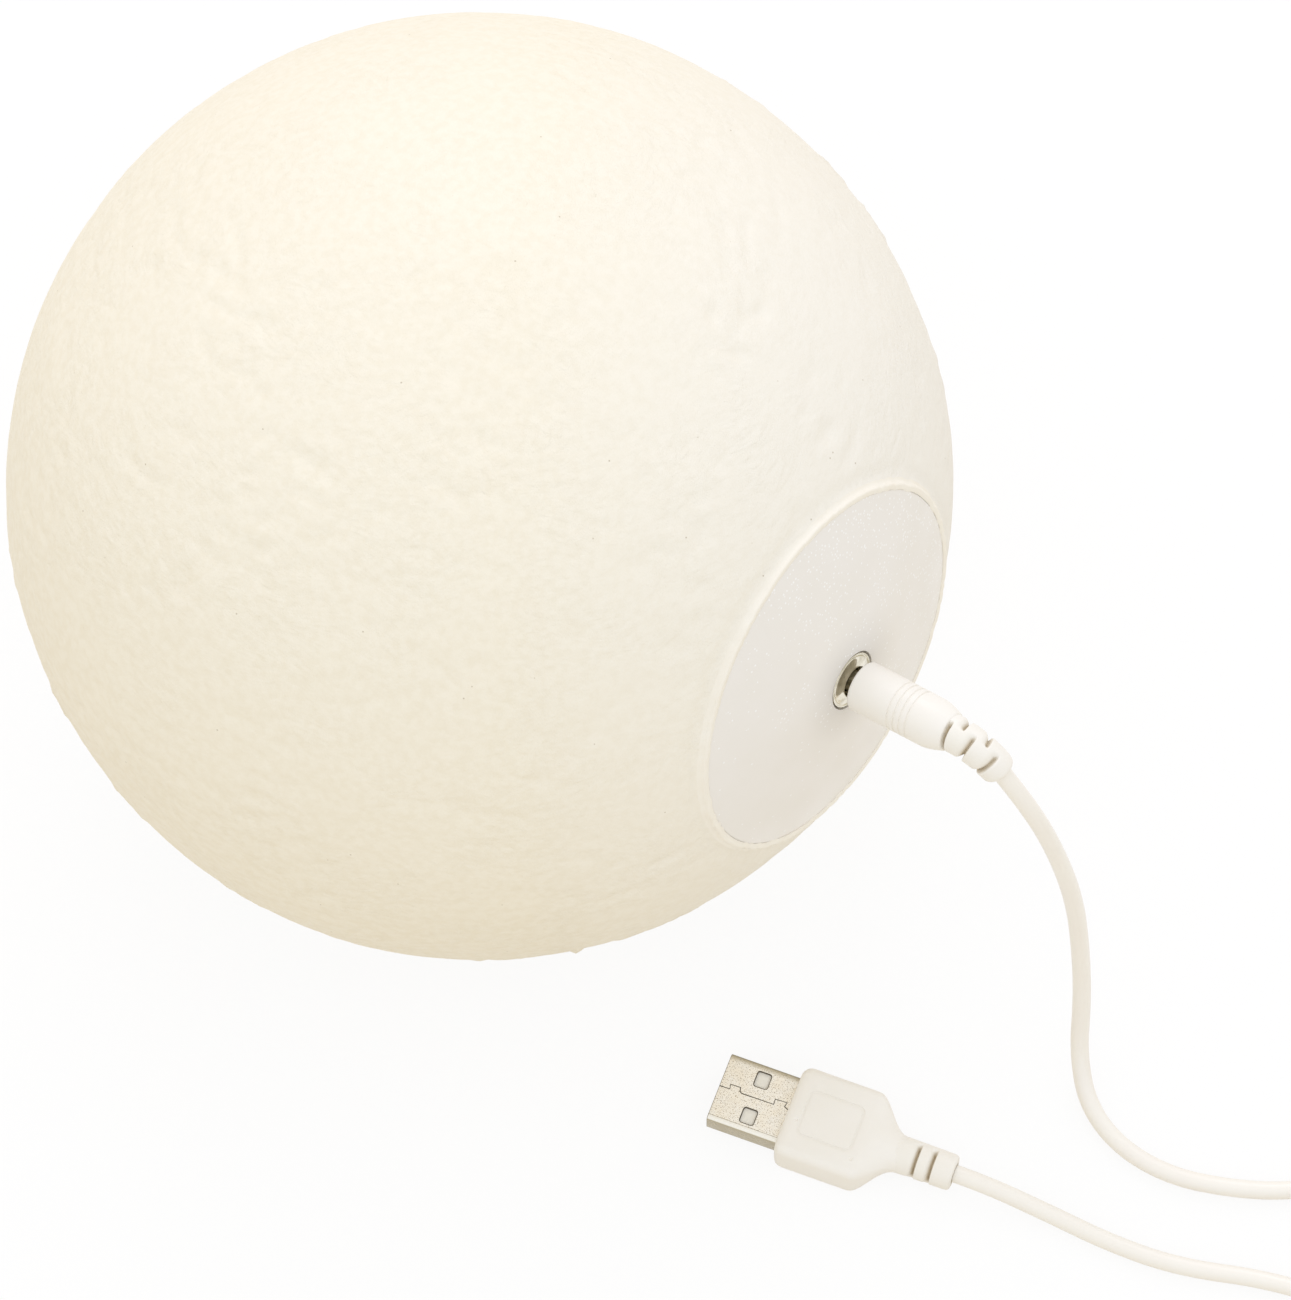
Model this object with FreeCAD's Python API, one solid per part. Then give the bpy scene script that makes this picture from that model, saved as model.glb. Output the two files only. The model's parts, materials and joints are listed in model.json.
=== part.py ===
import FreeCAD, Part
import math
import os
from FreeCAD import Vector

# Moon lamp: a hollow cream ball that lies on a table, with a snap-in base cover, a charging jack
# whose plated ring is the touch switch, the electronics behind it, and a USB charging lead.
#
# The lamp is drawn about its own axis: +Z leaves the middle of the base cover, and the origin is
# the middle of the ball. It is then laid down on the table, so that the finished part has +Z up,
# +X the way the base cover faces, and its origin under the ball, on the table. Millimetres.

# ---- Driving dimensions ---------------------------------------------------------------------

# How the lamp lies on the table
AXIS_TILT = 15.0            # degrees that the lamp's axis points up out of the table
REST_FLAT_DEPTH = 0.6       # worn flat on the relief, which the ball rests on

# Ball, with its opening for the base cover
BALL_DIAMETER = 150.0
SHELL_WALL = 2.2
OPENING_RADIUS = 30.2       # inside of the lip and of the collar below it
LIP_WIDTH = 1.1
LIP_HEIGHT = 0.8            # how far the lip stands out of the ball
COLLAR_WALL = 2.4
COLLAR_DEPTH = 6.6          # from the lip's foot down to the shelf
SHELF_WIDTH = 2.6
SHELF_THICKNESS = 1.8
SNAP_GROOVE_DEPTH = 0.5
SNAP_GROOVE_HEIGHT = 1.6
SNAP_GROOVE_DROP = 3.4      # from the lip's foot down to the middle of the groove

# Base cover
COVER_CLEARANCE = 0.15
COVER_EDGE_DROP = 0.3       # edge of the cover below the lip's foot
COVER_RISE = 6.0            # height of the dome over its edge
COVER_EDGE_ROUND = 0.4
COVER_WALL = 2.2
SKIRT_WALL = 1.6
SNAP_BEAD_CLEARANCE = 0.2
PAD_RADIUS = 9.0            # thick middle of the cover, which the jack is clamped to
PAD_THICKNESS = 3.7
PILLAR_RADIUS = 2.8
PILLAR_CIRCLE = 20.5
PILLAR_ANGLE = 22.0         # degrees from the nearest side axis to each pillar
PILLAR_SINK = 1.0           # how far a pillar runs into the dome

# Charging jack, whose ring is the touch switch
RING_RADIUS = 5.0
RING_THICKNESS = 1.2
RING_DROP = 0.2             # face of the ring below the top of the dome
RING_GAP = 0.3              # dark gap round the ring
RING_EDGE = 0.35            # bevel of the ring's outer edge
BARREL_RADIUS = 4.0
BARREL_LENGTH = 7.0         # below the ring
BARREL_BORE = 2.9
BARREL_MOUTH = 0.5          # bevel of the bore's mouth
NUT_ACROSS_FLATS = 11.0
NUT_THICKNESS = 2.5
TAG_THICKNESS = 0.5
TAG_RADIUS = 6.8
TAG_ARM_LENGTH = 10.6
TAG_ARM_WIDTH = 2.6
FIT = 0.05                  # radial clearance of parts that slide together
JACK_FACE_DROP = 2.2        # front of the insulator below the face of the ring
JACK_BORE = 1.95
JACK_BLOCK = 8.0
JACK_PIN_RADIUS = 0.65
JACK_PIN_ROOT = 3.0         # length of the pin held in the block
JACK_PIN_DROP = 2.7         # tip of the pin below the face of the ring
SPRING_WIDTH = 1.2
SPRING_THICKNESS = 0.25
SPRING_LENGTH = 4.0
TERMINAL_WIDTH = 1.2
TERMINAL_THICKNESS = 0.4
TERMINAL_LENGTH = 2.2
TERMINAL_PITCH = 2.6

# Boards
BOARD_DROP = 14.6           # from the face of the ring down to the main board
BOARD_RADIUS = 21.0
BOARD_THICKNESS = 1.6
HOLE_CLEARANCE = 0.15
CHIP_LENGTH = 4.9
CHIP_WIDTH = 3.9
CHIP_HEIGHT = 1.5
CHIP_LEG_COUNT = 4          # on each side
CHIP_LEG_PITCH = 1.27
CHIP_LEG_WIDTH = 0.42
CHIP_LEG_REACH = 1.0
CAPACITOR_RADIUS = 2.5
CAPACITOR_HEIGHT = 5.5
CAPACITOR_BASE = 5.4
CAPACITOR_BASE_HEIGHT = 0.7
INDUCTOR_SIZE = 5.2
INDUCTOR_HEIGHT = 3.0
INDUCTOR_CORNER_CUT = 0.9
SOCKET_LENGTH = 8.0
SOCKET_WIDTH = 4.6
SOCKET_HEIGHT = 5.0
SOCKET_WALL = 0.7
CHIP_SPREAD = (0.5, 0.3)    # where parts stand, in shares of the board's radius
CAPACITOR_SPREADS = ((-0.4, -0.55), (0.0, -0.7))
INDUCTOR_SPREAD = (0.45, -0.5)
LED_BOARD_RADIUS = 23.5
LED_COUNT = 8
LED_CIRCLE = 13.0
LED_SIZE = 5.0
LED_HEIGHT = 1.5
LED_LENS_RADIUS = 1.9
LED_LENS_FLOOR_RADIUS = 1.5
LED_LENS_DEPTH = 0.3
SPACER_ACROSS_FLATS = 4.4
SPACER_LENGTH = 9.9
STUD_RADIUS = 1.2
STUD_LENGTH = 5.0           # of the stud beyond the main board
SCREW_RADIUS = 1.0
SCREW_LENGTH = 4.6          # below the LED board
SCREW_HEAD_RADIUS = 2.0
SCREW_HEAD_HEIGHT = 1.4
SCREW_SLOT_LENGTH = 2.4
SCREW_SLOT_WIDTH = 0.5
SCREW_SLOT_DEPTH = 0.7

# Battery
CELL_LENGTH = 30.0
CELL_WIDTH = 30.0
CELL_THICKNESS = 4.8
CELL_OFFSET = -1.0          # of the cell's middle from the lamp's axis
CELL_ROUND = 1.4
ROUND_LIMIT = 0.45          # most of the thickness that a round takes
CELL_PAD_THICKNESS = 1.2
CELL_PAD_MARGIN = 3.0
CELL_PAD_WINDOW = 9.5       # square window over the jack's solder legs
WIRE_RADIUS = 0.6
WIRE_SPACING = 2.6
WIRE_REACH = 4.3            # of the battery's wires out from the cell
WIRE_SLOT_MARGIN = 0.9

# Charging plug
PLUG_GAP = 1.9              # between the plug's grip and the ring
SLEEVE_RADIUS = 1.75
SLEEVE_WALL = 0.45
SLEEVE_LENGTH = 9.5         # in front of the grip
SLEEVE_HELD = 3.4           # inside the grip
CONTACT_WALL = 0.22
CONTACT_SET_BACK = 0.3      # of the plug's contact from its tip
GRIP_RADIUS = 4.1
GRIP_LENGTH = 13.3
GRIP_FRONT_BEVEL = 0.4
GROOVE_COUNT = 4
GROOVE_PITCH = 1.15
GROOVE_WIDTH = 0.45
GROOVE_DEPTH = 0.22
GROOVE_START = 7.5          # from the grip's front to its first groove
SHOULDER_LENGTH = 4.0
SHOULDER_RADIUS = 3.15
RELIEF_TURN = 72.0          # degrees that the strain relief bends down
RELIEF_BEND_RADIUS = 8.9
RELIEF_CORE_RADIUS = 2.45
RELIEF_RING_RADIUS = 3.05
RELIEF_RING_TAPER = 0.1     # each ring is this much smaller than the one before
RELIEF_RING_COUNT = 4
RELIEF_RING_SHARE = 0.74    # of a ring's pitch that is ring, and the rest is notch

# Cord
CORD_DIAMETER = 3.0
CORD_FIRST_RUN = 9.2        # straight out of the plug's strain relief
CORD_LAST_RUN = 9.0         # straight into and out of the coil
USB_FIRST_RUN = 5.6         # straight out of the USB plug
RUN_SHARE = 0.45            # of the shorter run beside a corner that its arc takes

# Put-away coil
COIL_MIDDLE = Vector(197.2, 16.4, 0)
COIL_TURNS_PER_LAYER = 1.875
COIL_LAYERS = 4
COIL_PITCH = 3.5            # from one turn to the next, sideways and up
COIL_OUTER_RADIUS = 19.7
COIL_DIRECTION = 35.2       # degrees from +X to the way the cord runs in
COIL_CLIMB = 0.5            # turns that a climb from one layer to the next takes
COIL_STRAIGHT = 3.0         # straight end of the wound tube
COIL_SAMPLES = 9            # points on each arc where the gap between turns is measured
TIE_THICKNESS = 0.7
TIE_WIDTH = 6.0
TIE_CLEARANCE = 0.35
TIE_FLOOR_GAP = 0.1         # between the tie and the lowest turn, which lies on it
TIE_ROUND = 2.0
TIE_BUTTON_RADIUS = 2.2
TIE_BUTTON_HEIGHT = 1.2

# USB plug
USB_TIP = Vector(75.2, -40.4, 0)
USB_HEADING = 14.6          # degrees from +X to the plug's length
USB_SHELL_WIDTH = 12.0
USB_SHELL_HEIGHT = 4.5
USB_SHELL_WALL = 0.32
USB_SHELL_LENGTH = 12.0     # in front of the grip
USB_SHELL_HELD = 3.4        # inside the grip
USB_SHELL_ROUND = 0.6
USB_WINDOW_LENGTH = 2.3
USB_WINDOW_WIDTH = 2.6
USB_WINDOW_ROUND = 0.35
USB_WINDOW_FROM_TIP = 6.3
USB_WINDOW_SPACING = 6.6
USB_TONGUE_THICKNESS = 1.9
USB_TONGUE_SET_BACK = 0.6
USB_TONGUE_SIDE_GAP = 0.3
USB_TONGUE_BEVEL = 0.5
USB_CONTACT_COUNT = 4
USB_CONTACT_PITCH = 2.25
USB_CONTACT_WIDTH = 1.1
USB_CONTACT_LENGTH = 7.6
USB_CONTACT_THICKNESS = 0.2
USB_GRIP_WIDTH = 16.0
USB_GRIP_HEIGHT = 8.0
USB_GRIP_LENGTH = 13.0      # at its full width
USB_GRIP_TAPER = 6.6
USB_GRIP_ROUND = 1.6
USB_GRIP_FRONT_BEVEL = 0.6
USB_TAPER_STEPS = 8
USB_NECK_RADIUS = 3.1
USB_NECK_ROUND_SHARE = 0.9  # of the neck radius, so that the neck is nearly round
USB_PANEL_LENGTH = 9.7
USB_PANEL_WIDTH = 8.4
USB_PANEL_FROM_FRONT = 2.4
USB_PANEL_LINE = 0.4
USB_PANEL_DEPTH = 0.15
USB_PANEL_CORNER = 1.0
USB_RELIEF_LENGTH = 9.1
USB_RELIEF_RADIUS = 2.95
USB_RELIEF_GROOVE = 0.6
USB_RELIEF_GROOVE_DEPTH = 0.5
USB_RELIEF_GROOVE_SHARES = (0.18, 0.47)     # of its length, where the grooves start

# ---- Places worked out from the driving dimensions --------------------------------------------

BALL_RADIUS = BALL_DIAMETER / 2
INNER_RADIUS = BALL_RADIUS - SHELL_WALL
LIP_RADIUS = OPENING_RADIUS + LIP_WIDTH
LIP_FOOT = math.sqrt(BALL_RADIUS ** 2 - LIP_RADIUS ** 2)
SHELF_TOP = LIP_FOOT - COLLAR_DEPTH
SHELF_FOOT = SHELF_TOP - SHELF_THICKNESS
GROOVE_MIDDLE = LIP_FOOT - SNAP_GROOVE_DROP

COVER_RADIUS = OPENING_RADIUS - COVER_CLEARANCE
COVER_EDGE = LIP_FOOT - COVER_EDGE_DROP
DOME_RADIUS = (COVER_RADIUS ** 2 + COVER_RISE ** 2) / (2 * COVER_RISE)
DOME_TOP = COVER_EDGE + COVER_RISE
DOME_MIDDLE = DOME_TOP - DOME_RADIUS
PAD_FACE = DOME_TOP - PAD_THICKNESS

RING_FACE = DOME_TOP - RING_DROP
RING_FOOT = RING_FACE - RING_THICKNESS
BARREL_FOOT = RING_FOOT - BARREL_LENGTH
TAG_FOOT = PAD_FACE - TAG_THICKNESS
JACK_FACE = RING_FACE - JACK_FACE_DROP
PLUG_FRONT = RING_FACE + PLUG_GAP
SLEEVE_TIP = PLUG_FRONT - SLEEVE_LENGTH
JACK_FLOOR = SLEEVE_TIP - 2 * FIT

BOARD_TOP = RING_FACE - BOARD_DROP
BOARD_FOOT = BOARD_TOP - BOARD_THICKNESS
SPACER_FOOT = BOARD_FOOT - SPACER_LENGTH
LED_BOARD_FOOT = SPACER_FOOT - BOARD_THICKNESS
CELL_TOP = BOARD_FOOT - CELL_PAD_THICKNESS
CELL_MIDDLE = CELL_TOP - CELL_THICKNESS / 2
CELL_END = CELL_OFFSET + CELL_LENGTH / 2
SOCKET_END = CELL_END - FIT
WIRE_TURN = CELL_END + WIRE_REACH
SOCKET_WIRE_HEIGHT = BOARD_TOP + SOCKET_HEIGHT / 2
PILLAR_PLACES = [
    Vector(side * PILLAR_CIRCLE * math.cos(math.radians(angle)),
           PILLAR_CIRCLE * math.sin(math.radians(angle)), 0)
    for side in (-1, 1)
    for angle in (-PILLAR_ANGLE, PILLAR_ANGLE)
]
LED_LEAD_PLACES = [
    Vector(step * WIRE_SPACING, CELL_OFFSET - CELL_LENGTH / 2 - 4 * WIRE_RADIUS, 0)
    for step in (-1, 0, 1)
]

SHOULDER_START = PLUG_FRONT + GRIP_LENGTH
SHOULDER_END = SHOULDER_START + SHOULDER_LENGTH
CORD_RADIUS = CORD_DIAMETER / 2
COIL_FOOT = TIE_THICKNESS + TIE_FLOOR_GAP + CORD_RADIUS
COIL_HEAD = COIL_FOOT + (COIL_LAYERS - 1) * COIL_PITCH
BALL_HEIGHT = BALL_RADIUS - REST_FLAT_DEPTH

USB_AXIS_HEIGHT = USB_GRIP_HEIGHT / 2
USB_GRIP_END = USB_SHELL_LENGTH + USB_GRIP_LENGTH + USB_GRIP_TAPER
USB_RELIEF_END = USB_GRIP_END + USB_RELIEF_LENGTH
TONGUE_WIDTH = USB_SHELL_WIDTH - 2 * USB_SHELL_WALL - 2 * USB_TONGUE_SIDE_GAP
TONGUE_TOP = USB_AXIS_HEIGHT + USB_SHELL_HEIGHT / 2 - USB_SHELL_WALL - FIT
TONGUE_FOOT = TONGUE_TOP - USB_TONGUE_THICKNESS

# ---- Small helpers ------------------------------------------------------------------------------


def corner_arc(before, corner, after, radius):
    """Arc of the given radius that rounds a corner, with its two ends."""
    back = (before - corner).normalize()
    ahead = (after - corner).normalize()
    half_angle = back.getAngle(ahead) / 2
    reach = radius / math.tan(half_angle)
    start = corner + back * reach
    end = corner + ahead * reach
    inward = (back + ahead).normalize()
    middle = corner + inward * (radius / math.sin(half_angle) - radius)
    return start, end, Part.Arc(start, middle, end).toShape()


def spin(profile):
    """Solid of revolution about the lamp's axis, from a closed list of edges."""
    face = Part.Face(Part.Wire(profile))
    return face.revolve(Vector(0, 0, 0), Vector(0, 0, 1), 360)


def outline(points):
    """Closed edges through (radius, height) points. A third value rounds that corner."""
    places = [Vector(point[0], 0, point[1]) for point in points]
    rounds = [point[2] if len(point) > 2 else 0 for point in points]
    ends = []
    arcs = []
    for index, place in enumerate(places):
        if rounds[index] == 0:
            ends.append((place, place))
            arcs.append(None)
            continue
        start, end, arc = corner_arc(
            places[index - 1], place, places[(index + 1) % len(places)], rounds[index])
        ends.append((start, end))
        arcs.append(arc)
    edges = []
    for index in range(len(places)):
        if arcs[index]:
            edges.append(arcs[index])
        following = ends[(index + 1) % len(places)][0]
        edges.append(Part.LineSegment(ends[index][1], following).toShape())
    return edges


def tube(outer, inner, foot, top):
    """Round tube about the lamp's axis."""
    return spin(outline([(inner, foot), (outer, foot), (outer, top), (inner, top)]))


def rod(radius, foot, top, place=Vector(0, 0, 0)):
    """Round rod parallel to the lamp's axis."""
    return Part.makeCylinder(radius, top - foot, Vector(place.x, place.y, foot))


def block(length, width, height, place):
    """Box that stands on its place, centred over it."""
    corner = Vector(place.x - length / 2, place.y - width / 2, place.z)
    return Part.makeBox(length, width, height, corner)


def hexagon(across_flats, foot, top, place=Vector(0, 0, 0)):
    """Six-sided prism parallel to the lamp's axis."""
    corner_radius = across_flats / math.sqrt(3)
    corners = [
        Vector(place.x + corner_radius * math.cos(math.radians(60 * step)),
               place.y + corner_radius * math.sin(math.radians(60 * step)), foot)
        for step in range(6)
    ]
    face = Part.Face(Part.makePolygon(corners + corners[:1]))
    return face.extrude(Vector(0, 0, top - foot))


def group(solids):
    """Separate solids that share one node."""
    return Part.makeCompound(solids)


def lay_down(shape):
    """Turn a lamp piece from the lamp's own axis to the way it lies on the table."""
    laid = shape.copy()
    laid.rotate(Vector(0, 0, 0), Vector(0, 1, 0), 90 - AXIS_TILT)
    laid.translate(Vector(0, 0, BALL_HEIGHT))
    return laid


def lay_point(point):
    """A point of the lamp's own frame, where it lies on the table."""
    return lay_down(Part.Vertex(point)).Point


def set_usb(shape):
    """Put a piece of the USB plug, drawn along +X, where the plug lies."""
    placed = shape.copy()
    placed.rotate(Vector(0, 0, 0), Vector(0, 0, 1), USB_HEADING)
    placed.translate(USB_TIP)
    return placed


def rounded_route(points):
    """Straight runs joined by arcs as large as the runs allow, and the arcs' radii."""
    edges = []
    radii = []
    start = points[0]
    for before, corner, after in zip(points, points[1:], points[2:]):
        half_turn = (corner - before).getAngle(after - corner) / 2
        reach = RUN_SHARE * min((corner - before).Length, (after - corner).Length)
        radius = reach / math.tan(half_turn)
        radii.append(radius)
        arc_start, arc_end, arc = corner_arc(before, corner, after, radius)
        edges.append(Part.LineSegment(start, arc_start).toShape())
        edges.append(arc)
        start = arc_end
    edges.append(Part.LineSegment(start, points[-1]).toShape())
    return Part.Wire(edges), radii


def sweep(path, start, heading, radius):
    """Round solid tube along a path."""
    ring = Part.Wire(Part.makeCircle(radius, start, heading))
    return path.makePipeShell([ring], True, False)


def cord_tube(name, points):
    """Tube along a route of the cord. Prints its radii and checks its volume."""
    path, radii = rounded_route(points)
    solid = sweep(path, points[0], points[1] - points[0], CORD_RADIUS)
    expected = math.pi * CORD_RADIUS ** 2 * path.Length
    print(name, "length %.1f" % path.Length, "radii", [round(radius, 1) for radius in radii],
          "volume over section times length %.4f" % (solid.Volume / expected))
    return solid


# ---- Shell and base cover -----------------------------------------------------------------------


def moon_shell():
    """Hollow ball with a lip round its opening, and a collar and shelf inside it."""
    collar_radius = OPENING_RADIUS + COLLAR_WALL
    collar_meets_ball = math.sqrt(INNER_RADIUS ** 2 - collar_radius ** 2)
    lip_round = LIP_WIDTH / 2
    lip_side = LIP_FOOT + LIP_HEIGHT - lip_round
    groove_top = GROOVE_MIDDLE + SNAP_GROOVE_HEIGHT / 2
    groove_foot = GROOVE_MIDDLE - SNAP_GROOVE_HEIGHT / 2
    groove_radius = OPENING_RADIUS + SNAP_GROOVE_DEPTH
    shelf_radius = OPENING_RADIUS - SHELF_WIDTH

    inside = [
        (OPENING_RADIUS, lip_side), (OPENING_RADIUS, groove_top), (groove_radius, groove_top),
        (groove_radius, groove_foot), (OPENING_RADIUS, groove_foot), (OPENING_RADIUS, SHELF_TOP),
        (shelf_radius, SHELF_TOP), (shelf_radius, SHELF_FOOT), (collar_radius, SHELF_FOOT),
        (collar_radius, collar_meets_ball),
    ]
    inside = [Vector(radius, 0, height) for radius, height in inside]
    edges = [Part.LineSegment(a, b).toShape() for a, b in zip(inside, inside[1:])]
    edges.append(Part.Arc(inside[-1], Vector(INNER_RADIUS, 0, 0),
                          Vector(0, 0, -INNER_RADIUS)).toShape())
    edges.append(Part.LineSegment(Vector(0, 0, -INNER_RADIUS),
                                  Vector(0, 0, -BALL_RADIUS)).toShape())
    lip_foot = Vector(LIP_RADIUS, 0, LIP_FOOT)
    edges.append(Part.Arc(Vector(0, 0, -BALL_RADIUS), Vector(BALL_RADIUS, 0, 0),
                          lip_foot).toShape())
    edges.append(Part.LineSegment(lip_foot, Vector(LIP_RADIUS, 0, lip_side)).toShape())
    edges.append(Part.Arc(Vector(LIP_RADIUS, 0, lip_side),
                          Vector(LIP_RADIUS - lip_round, 0, lip_side + lip_round),
                          inside[0]).toShape())
    table = Part.makeBox(BALL_DIAMETER, BALL_DIAMETER, BALL_RADIUS,
                         Vector(-BALL_RADIUS, -BALL_RADIUS, -BALL_RADIUS))
    return lay_down(spin(edges)).cut(table)


def base_cover():
    """Domed cover with a snap-in skirt, a thick middle for the jack and four pillars."""
    skirt_inner = COVER_RADIUS - SKIRT_WALL
    skirt_foot = SHELF_TOP + FIT
    inner_dome_radius = DOME_RADIUS - COVER_WALL
    dome_meets_skirt = DOME_MIDDLE + math.sqrt(inner_dome_radius ** 2 - skirt_inner ** 2)
    dome_meets_pad = DOME_MIDDLE + math.sqrt(inner_dome_radius ** 2 - PAD_RADIUS ** 2)
    bead_radius = OPENING_RADIUS + SNAP_GROOVE_DEPTH - SNAP_BEAD_CLEARANCE
    bead_half = SNAP_GROOVE_HEIGHT / 2 - SNAP_BEAD_CLEARANCE
    bead_slope = bead_radius - COVER_RADIUS

    def dome_point(radius, sphere_radius):
        return Vector(radius, 0, DOME_MIDDLE + math.sqrt(sphere_radius ** 2 - radius ** 2))

    edge_in = COVER_RADIUS - COVER_EDGE_ROUND
    edge_top = dome_point(edge_in, DOME_RADIUS)
    edge_side = Vector(COVER_RADIUS, 0, COVER_EDGE - COVER_EDGE_ROUND)
    skirt = [
        edge_side,
        Vector(COVER_RADIUS, 0, GROOVE_MIDDLE + bead_half),
        Vector(bead_radius, 0, GROOVE_MIDDLE + bead_half - bead_slope),
        Vector(bead_radius, 0, GROOVE_MIDDLE - bead_half + bead_slope),
        Vector(COVER_RADIUS, 0, GROOVE_MIDDLE - bead_half),
        Vector(COVER_RADIUS, 0, skirt_foot),
        Vector(skirt_inner, 0, skirt_foot),
        Vector(skirt_inner, 0, dome_meets_skirt),
    ]
    edges = [Part.LineSegment(edge_top, edge_side).toShape()]
    edges += [Part.LineSegment(a, b).toShape() for a, b in zip(skirt, skirt[1:])]
    edges.append(Part.Arc(skirt[-1], dome_point((skirt_inner + PAD_RADIUS) / 2, inner_dome_radius),
                          Vector(PAD_RADIUS, 0, dome_meets_pad)).toShape())
    edges.append(Part.LineSegment(Vector(PAD_RADIUS, 0, dome_meets_pad),
                                  Vector(PAD_RADIUS, 0, PAD_FACE)).toShape())
    edges.append(Part.LineSegment(Vector(PAD_RADIUS, 0, PAD_FACE),
                                  Vector(0, 0, PAD_FACE)).toShape())
    edges.append(Part.LineSegment(Vector(0, 0, PAD_FACE), Vector(0, 0, DOME_TOP)).toShape())
    edges.append(Part.Arc(Vector(0, 0, DOME_TOP), dome_point(edge_in / 2, DOME_RADIUS),
                          edge_top).toShape())
    cover = spin(edges)

    pillar_top = DOME_MIDDLE + math.sqrt(inner_dome_radius ** 2 - PILLAR_CIRCLE ** 2)
    stud_hole_top = BOARD_TOP + STUD_LENGTH + 4 * FIT
    for place in PILLAR_PLACES:
        cover = cover.fuse(rod(PILLAR_RADIUS, BOARD_TOP, pillar_top + PILLAR_SINK, place))
    for place in PILLAR_PLACES:
        cover = cover.cut(rod(STUD_RADIUS + FIT, BOARD_TOP, stud_hole_top, place))
    cover = cover.cut(rod(RING_RADIUS + RING_GAP, RING_FOOT, DOME_TOP))
    cover = cover.cut(rod(BARREL_RADIUS + FIT, PAD_FACE, DOME_TOP))
    return lay_down(cover)


# ---- Charging jack ------------------------------------------------------------------------------


def touch_ring():
    """Plated ring and barrel of the jack. Touching the ring switches the lamp."""
    profile = outline([
        (BARREL_BORE, BARREL_FOOT), (BARREL_RADIUS, BARREL_FOOT), (BARREL_RADIUS, RING_FOOT),
        (RING_RADIUS, RING_FOOT), (RING_RADIUS, RING_FACE - RING_EDGE),
        (RING_RADIUS - RING_EDGE, RING_FACE), (BARREL_BORE + BARREL_MOUTH, RING_FACE),
        (BARREL_BORE, RING_FACE - BARREL_MOUTH),
    ])
    return lay_down(spin(profile))


def jack_nut():
    """Hexagon nut that clamps the barrel and the solder tag to the cover."""
    nut = hexagon(NUT_ACROSS_FLATS, TAG_FOOT - NUT_THICKNESS, TAG_FOOT)
    return lay_down(nut.cut(rod(BARREL_RADIUS + FIT, TAG_FOOT - NUT_THICKNESS, TAG_FOOT)))


def touch_tag():
    """Solder tag between the nut and the cover, with an arm for its wire."""
    arm = block(TAG_ARM_LENGTH, TAG_ARM_WIDTH, TAG_THICKNESS,
                Vector(-TAG_ARM_LENGTH / 2, 0, TAG_FOOT))
    tag = rod(TAG_RADIUS, TAG_FOOT, PAD_FACE).fuse(arm)
    return lay_down(tag.cut(rod(BARREL_RADIUS + FIT, TAG_FOOT, PAD_FACE)))


def touch_lead():
    """Wire from the solder tag to the main board."""
    place = Vector(-TAG_ARM_LENGTH + TAG_ARM_WIDTH / 2, 0, 0)
    return lay_down(rod(WIRE_RADIUS, BOARD_TOP, TAG_FOOT, place))


def jack_body():
    """Insulator of the jack: a nose inside the barrel, and a block on the board."""
    nose = rod(BARREL_BORE - FIT, BARREL_FOOT, JACK_FACE)
    foot = block(JACK_BLOCK, JACK_BLOCK, BARREL_FOOT - BOARD_TOP, Vector(0, 0, BOARD_TOP))
    body = foot.fuse(nose)
    body = body.cut(rod(JACK_BORE, JACK_FLOOR, JACK_FACE))
    body = body.cut(rod(JACK_PIN_RADIUS + FIT / 2, JACK_FLOOR - JACK_PIN_ROOT, JACK_FLOOR))
    slot_reach = SLEEVE_RADIUS + FIT + SPRING_THICKNESS + FIT
    slot = Part.makeBox(SPRING_WIDTH + 2 * FIT, slot_reach, SPRING_LENGTH + FIT,
                        Vector(-SPRING_WIDTH / 2 - FIT, 0, JACK_FLOOR))
    return lay_down(body.cut(slot))


def jack_pin():
    """Centre pin of the jack, with a round tip."""
    tip = RING_FACE - JACK_PIN_DROP
    foot = JACK_FLOOR - JACK_PIN_ROOT
    pin = rod(JACK_PIN_RADIUS, foot, tip - JACK_PIN_RADIUS)
    ball = Part.makeSphere(JACK_PIN_RADIUS, Vector(0, 0, tip - JACK_PIN_RADIUS))
    return lay_down(pin.fuse(ball).removeSplitter())


def jack_spring():
    """Leaf contact beside the plug's sleeve."""
    leaf = Part.makeBox(SPRING_WIDTH, SPRING_THICKNESS, SPRING_LENGTH,
                        Vector(-SPRING_WIDTH / 2, SLEEVE_RADIUS + FIT, JACK_FLOOR))
    return lay_down(leaf)


def terminal_places():
    """Middles of the jack's three solder legs."""
    return [Vector(step * TERMINAL_PITCH, 0, 0) for step in (-1, 0, 1)]


def jack_terminals():
    """Three solder legs of the jack, through the main board."""
    legs = [
        block(TERMINAL_WIDTH, TERMINAL_THICKNESS, TERMINAL_LENGTH,
              Vector(place.x, place.y, BOARD_TOP - TERMINAL_LENGTH))
        for place in terminal_places()
    ]
    return lay_down(group(legs))


# ---- Boards -------------------------------------------------------------------------------------


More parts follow.
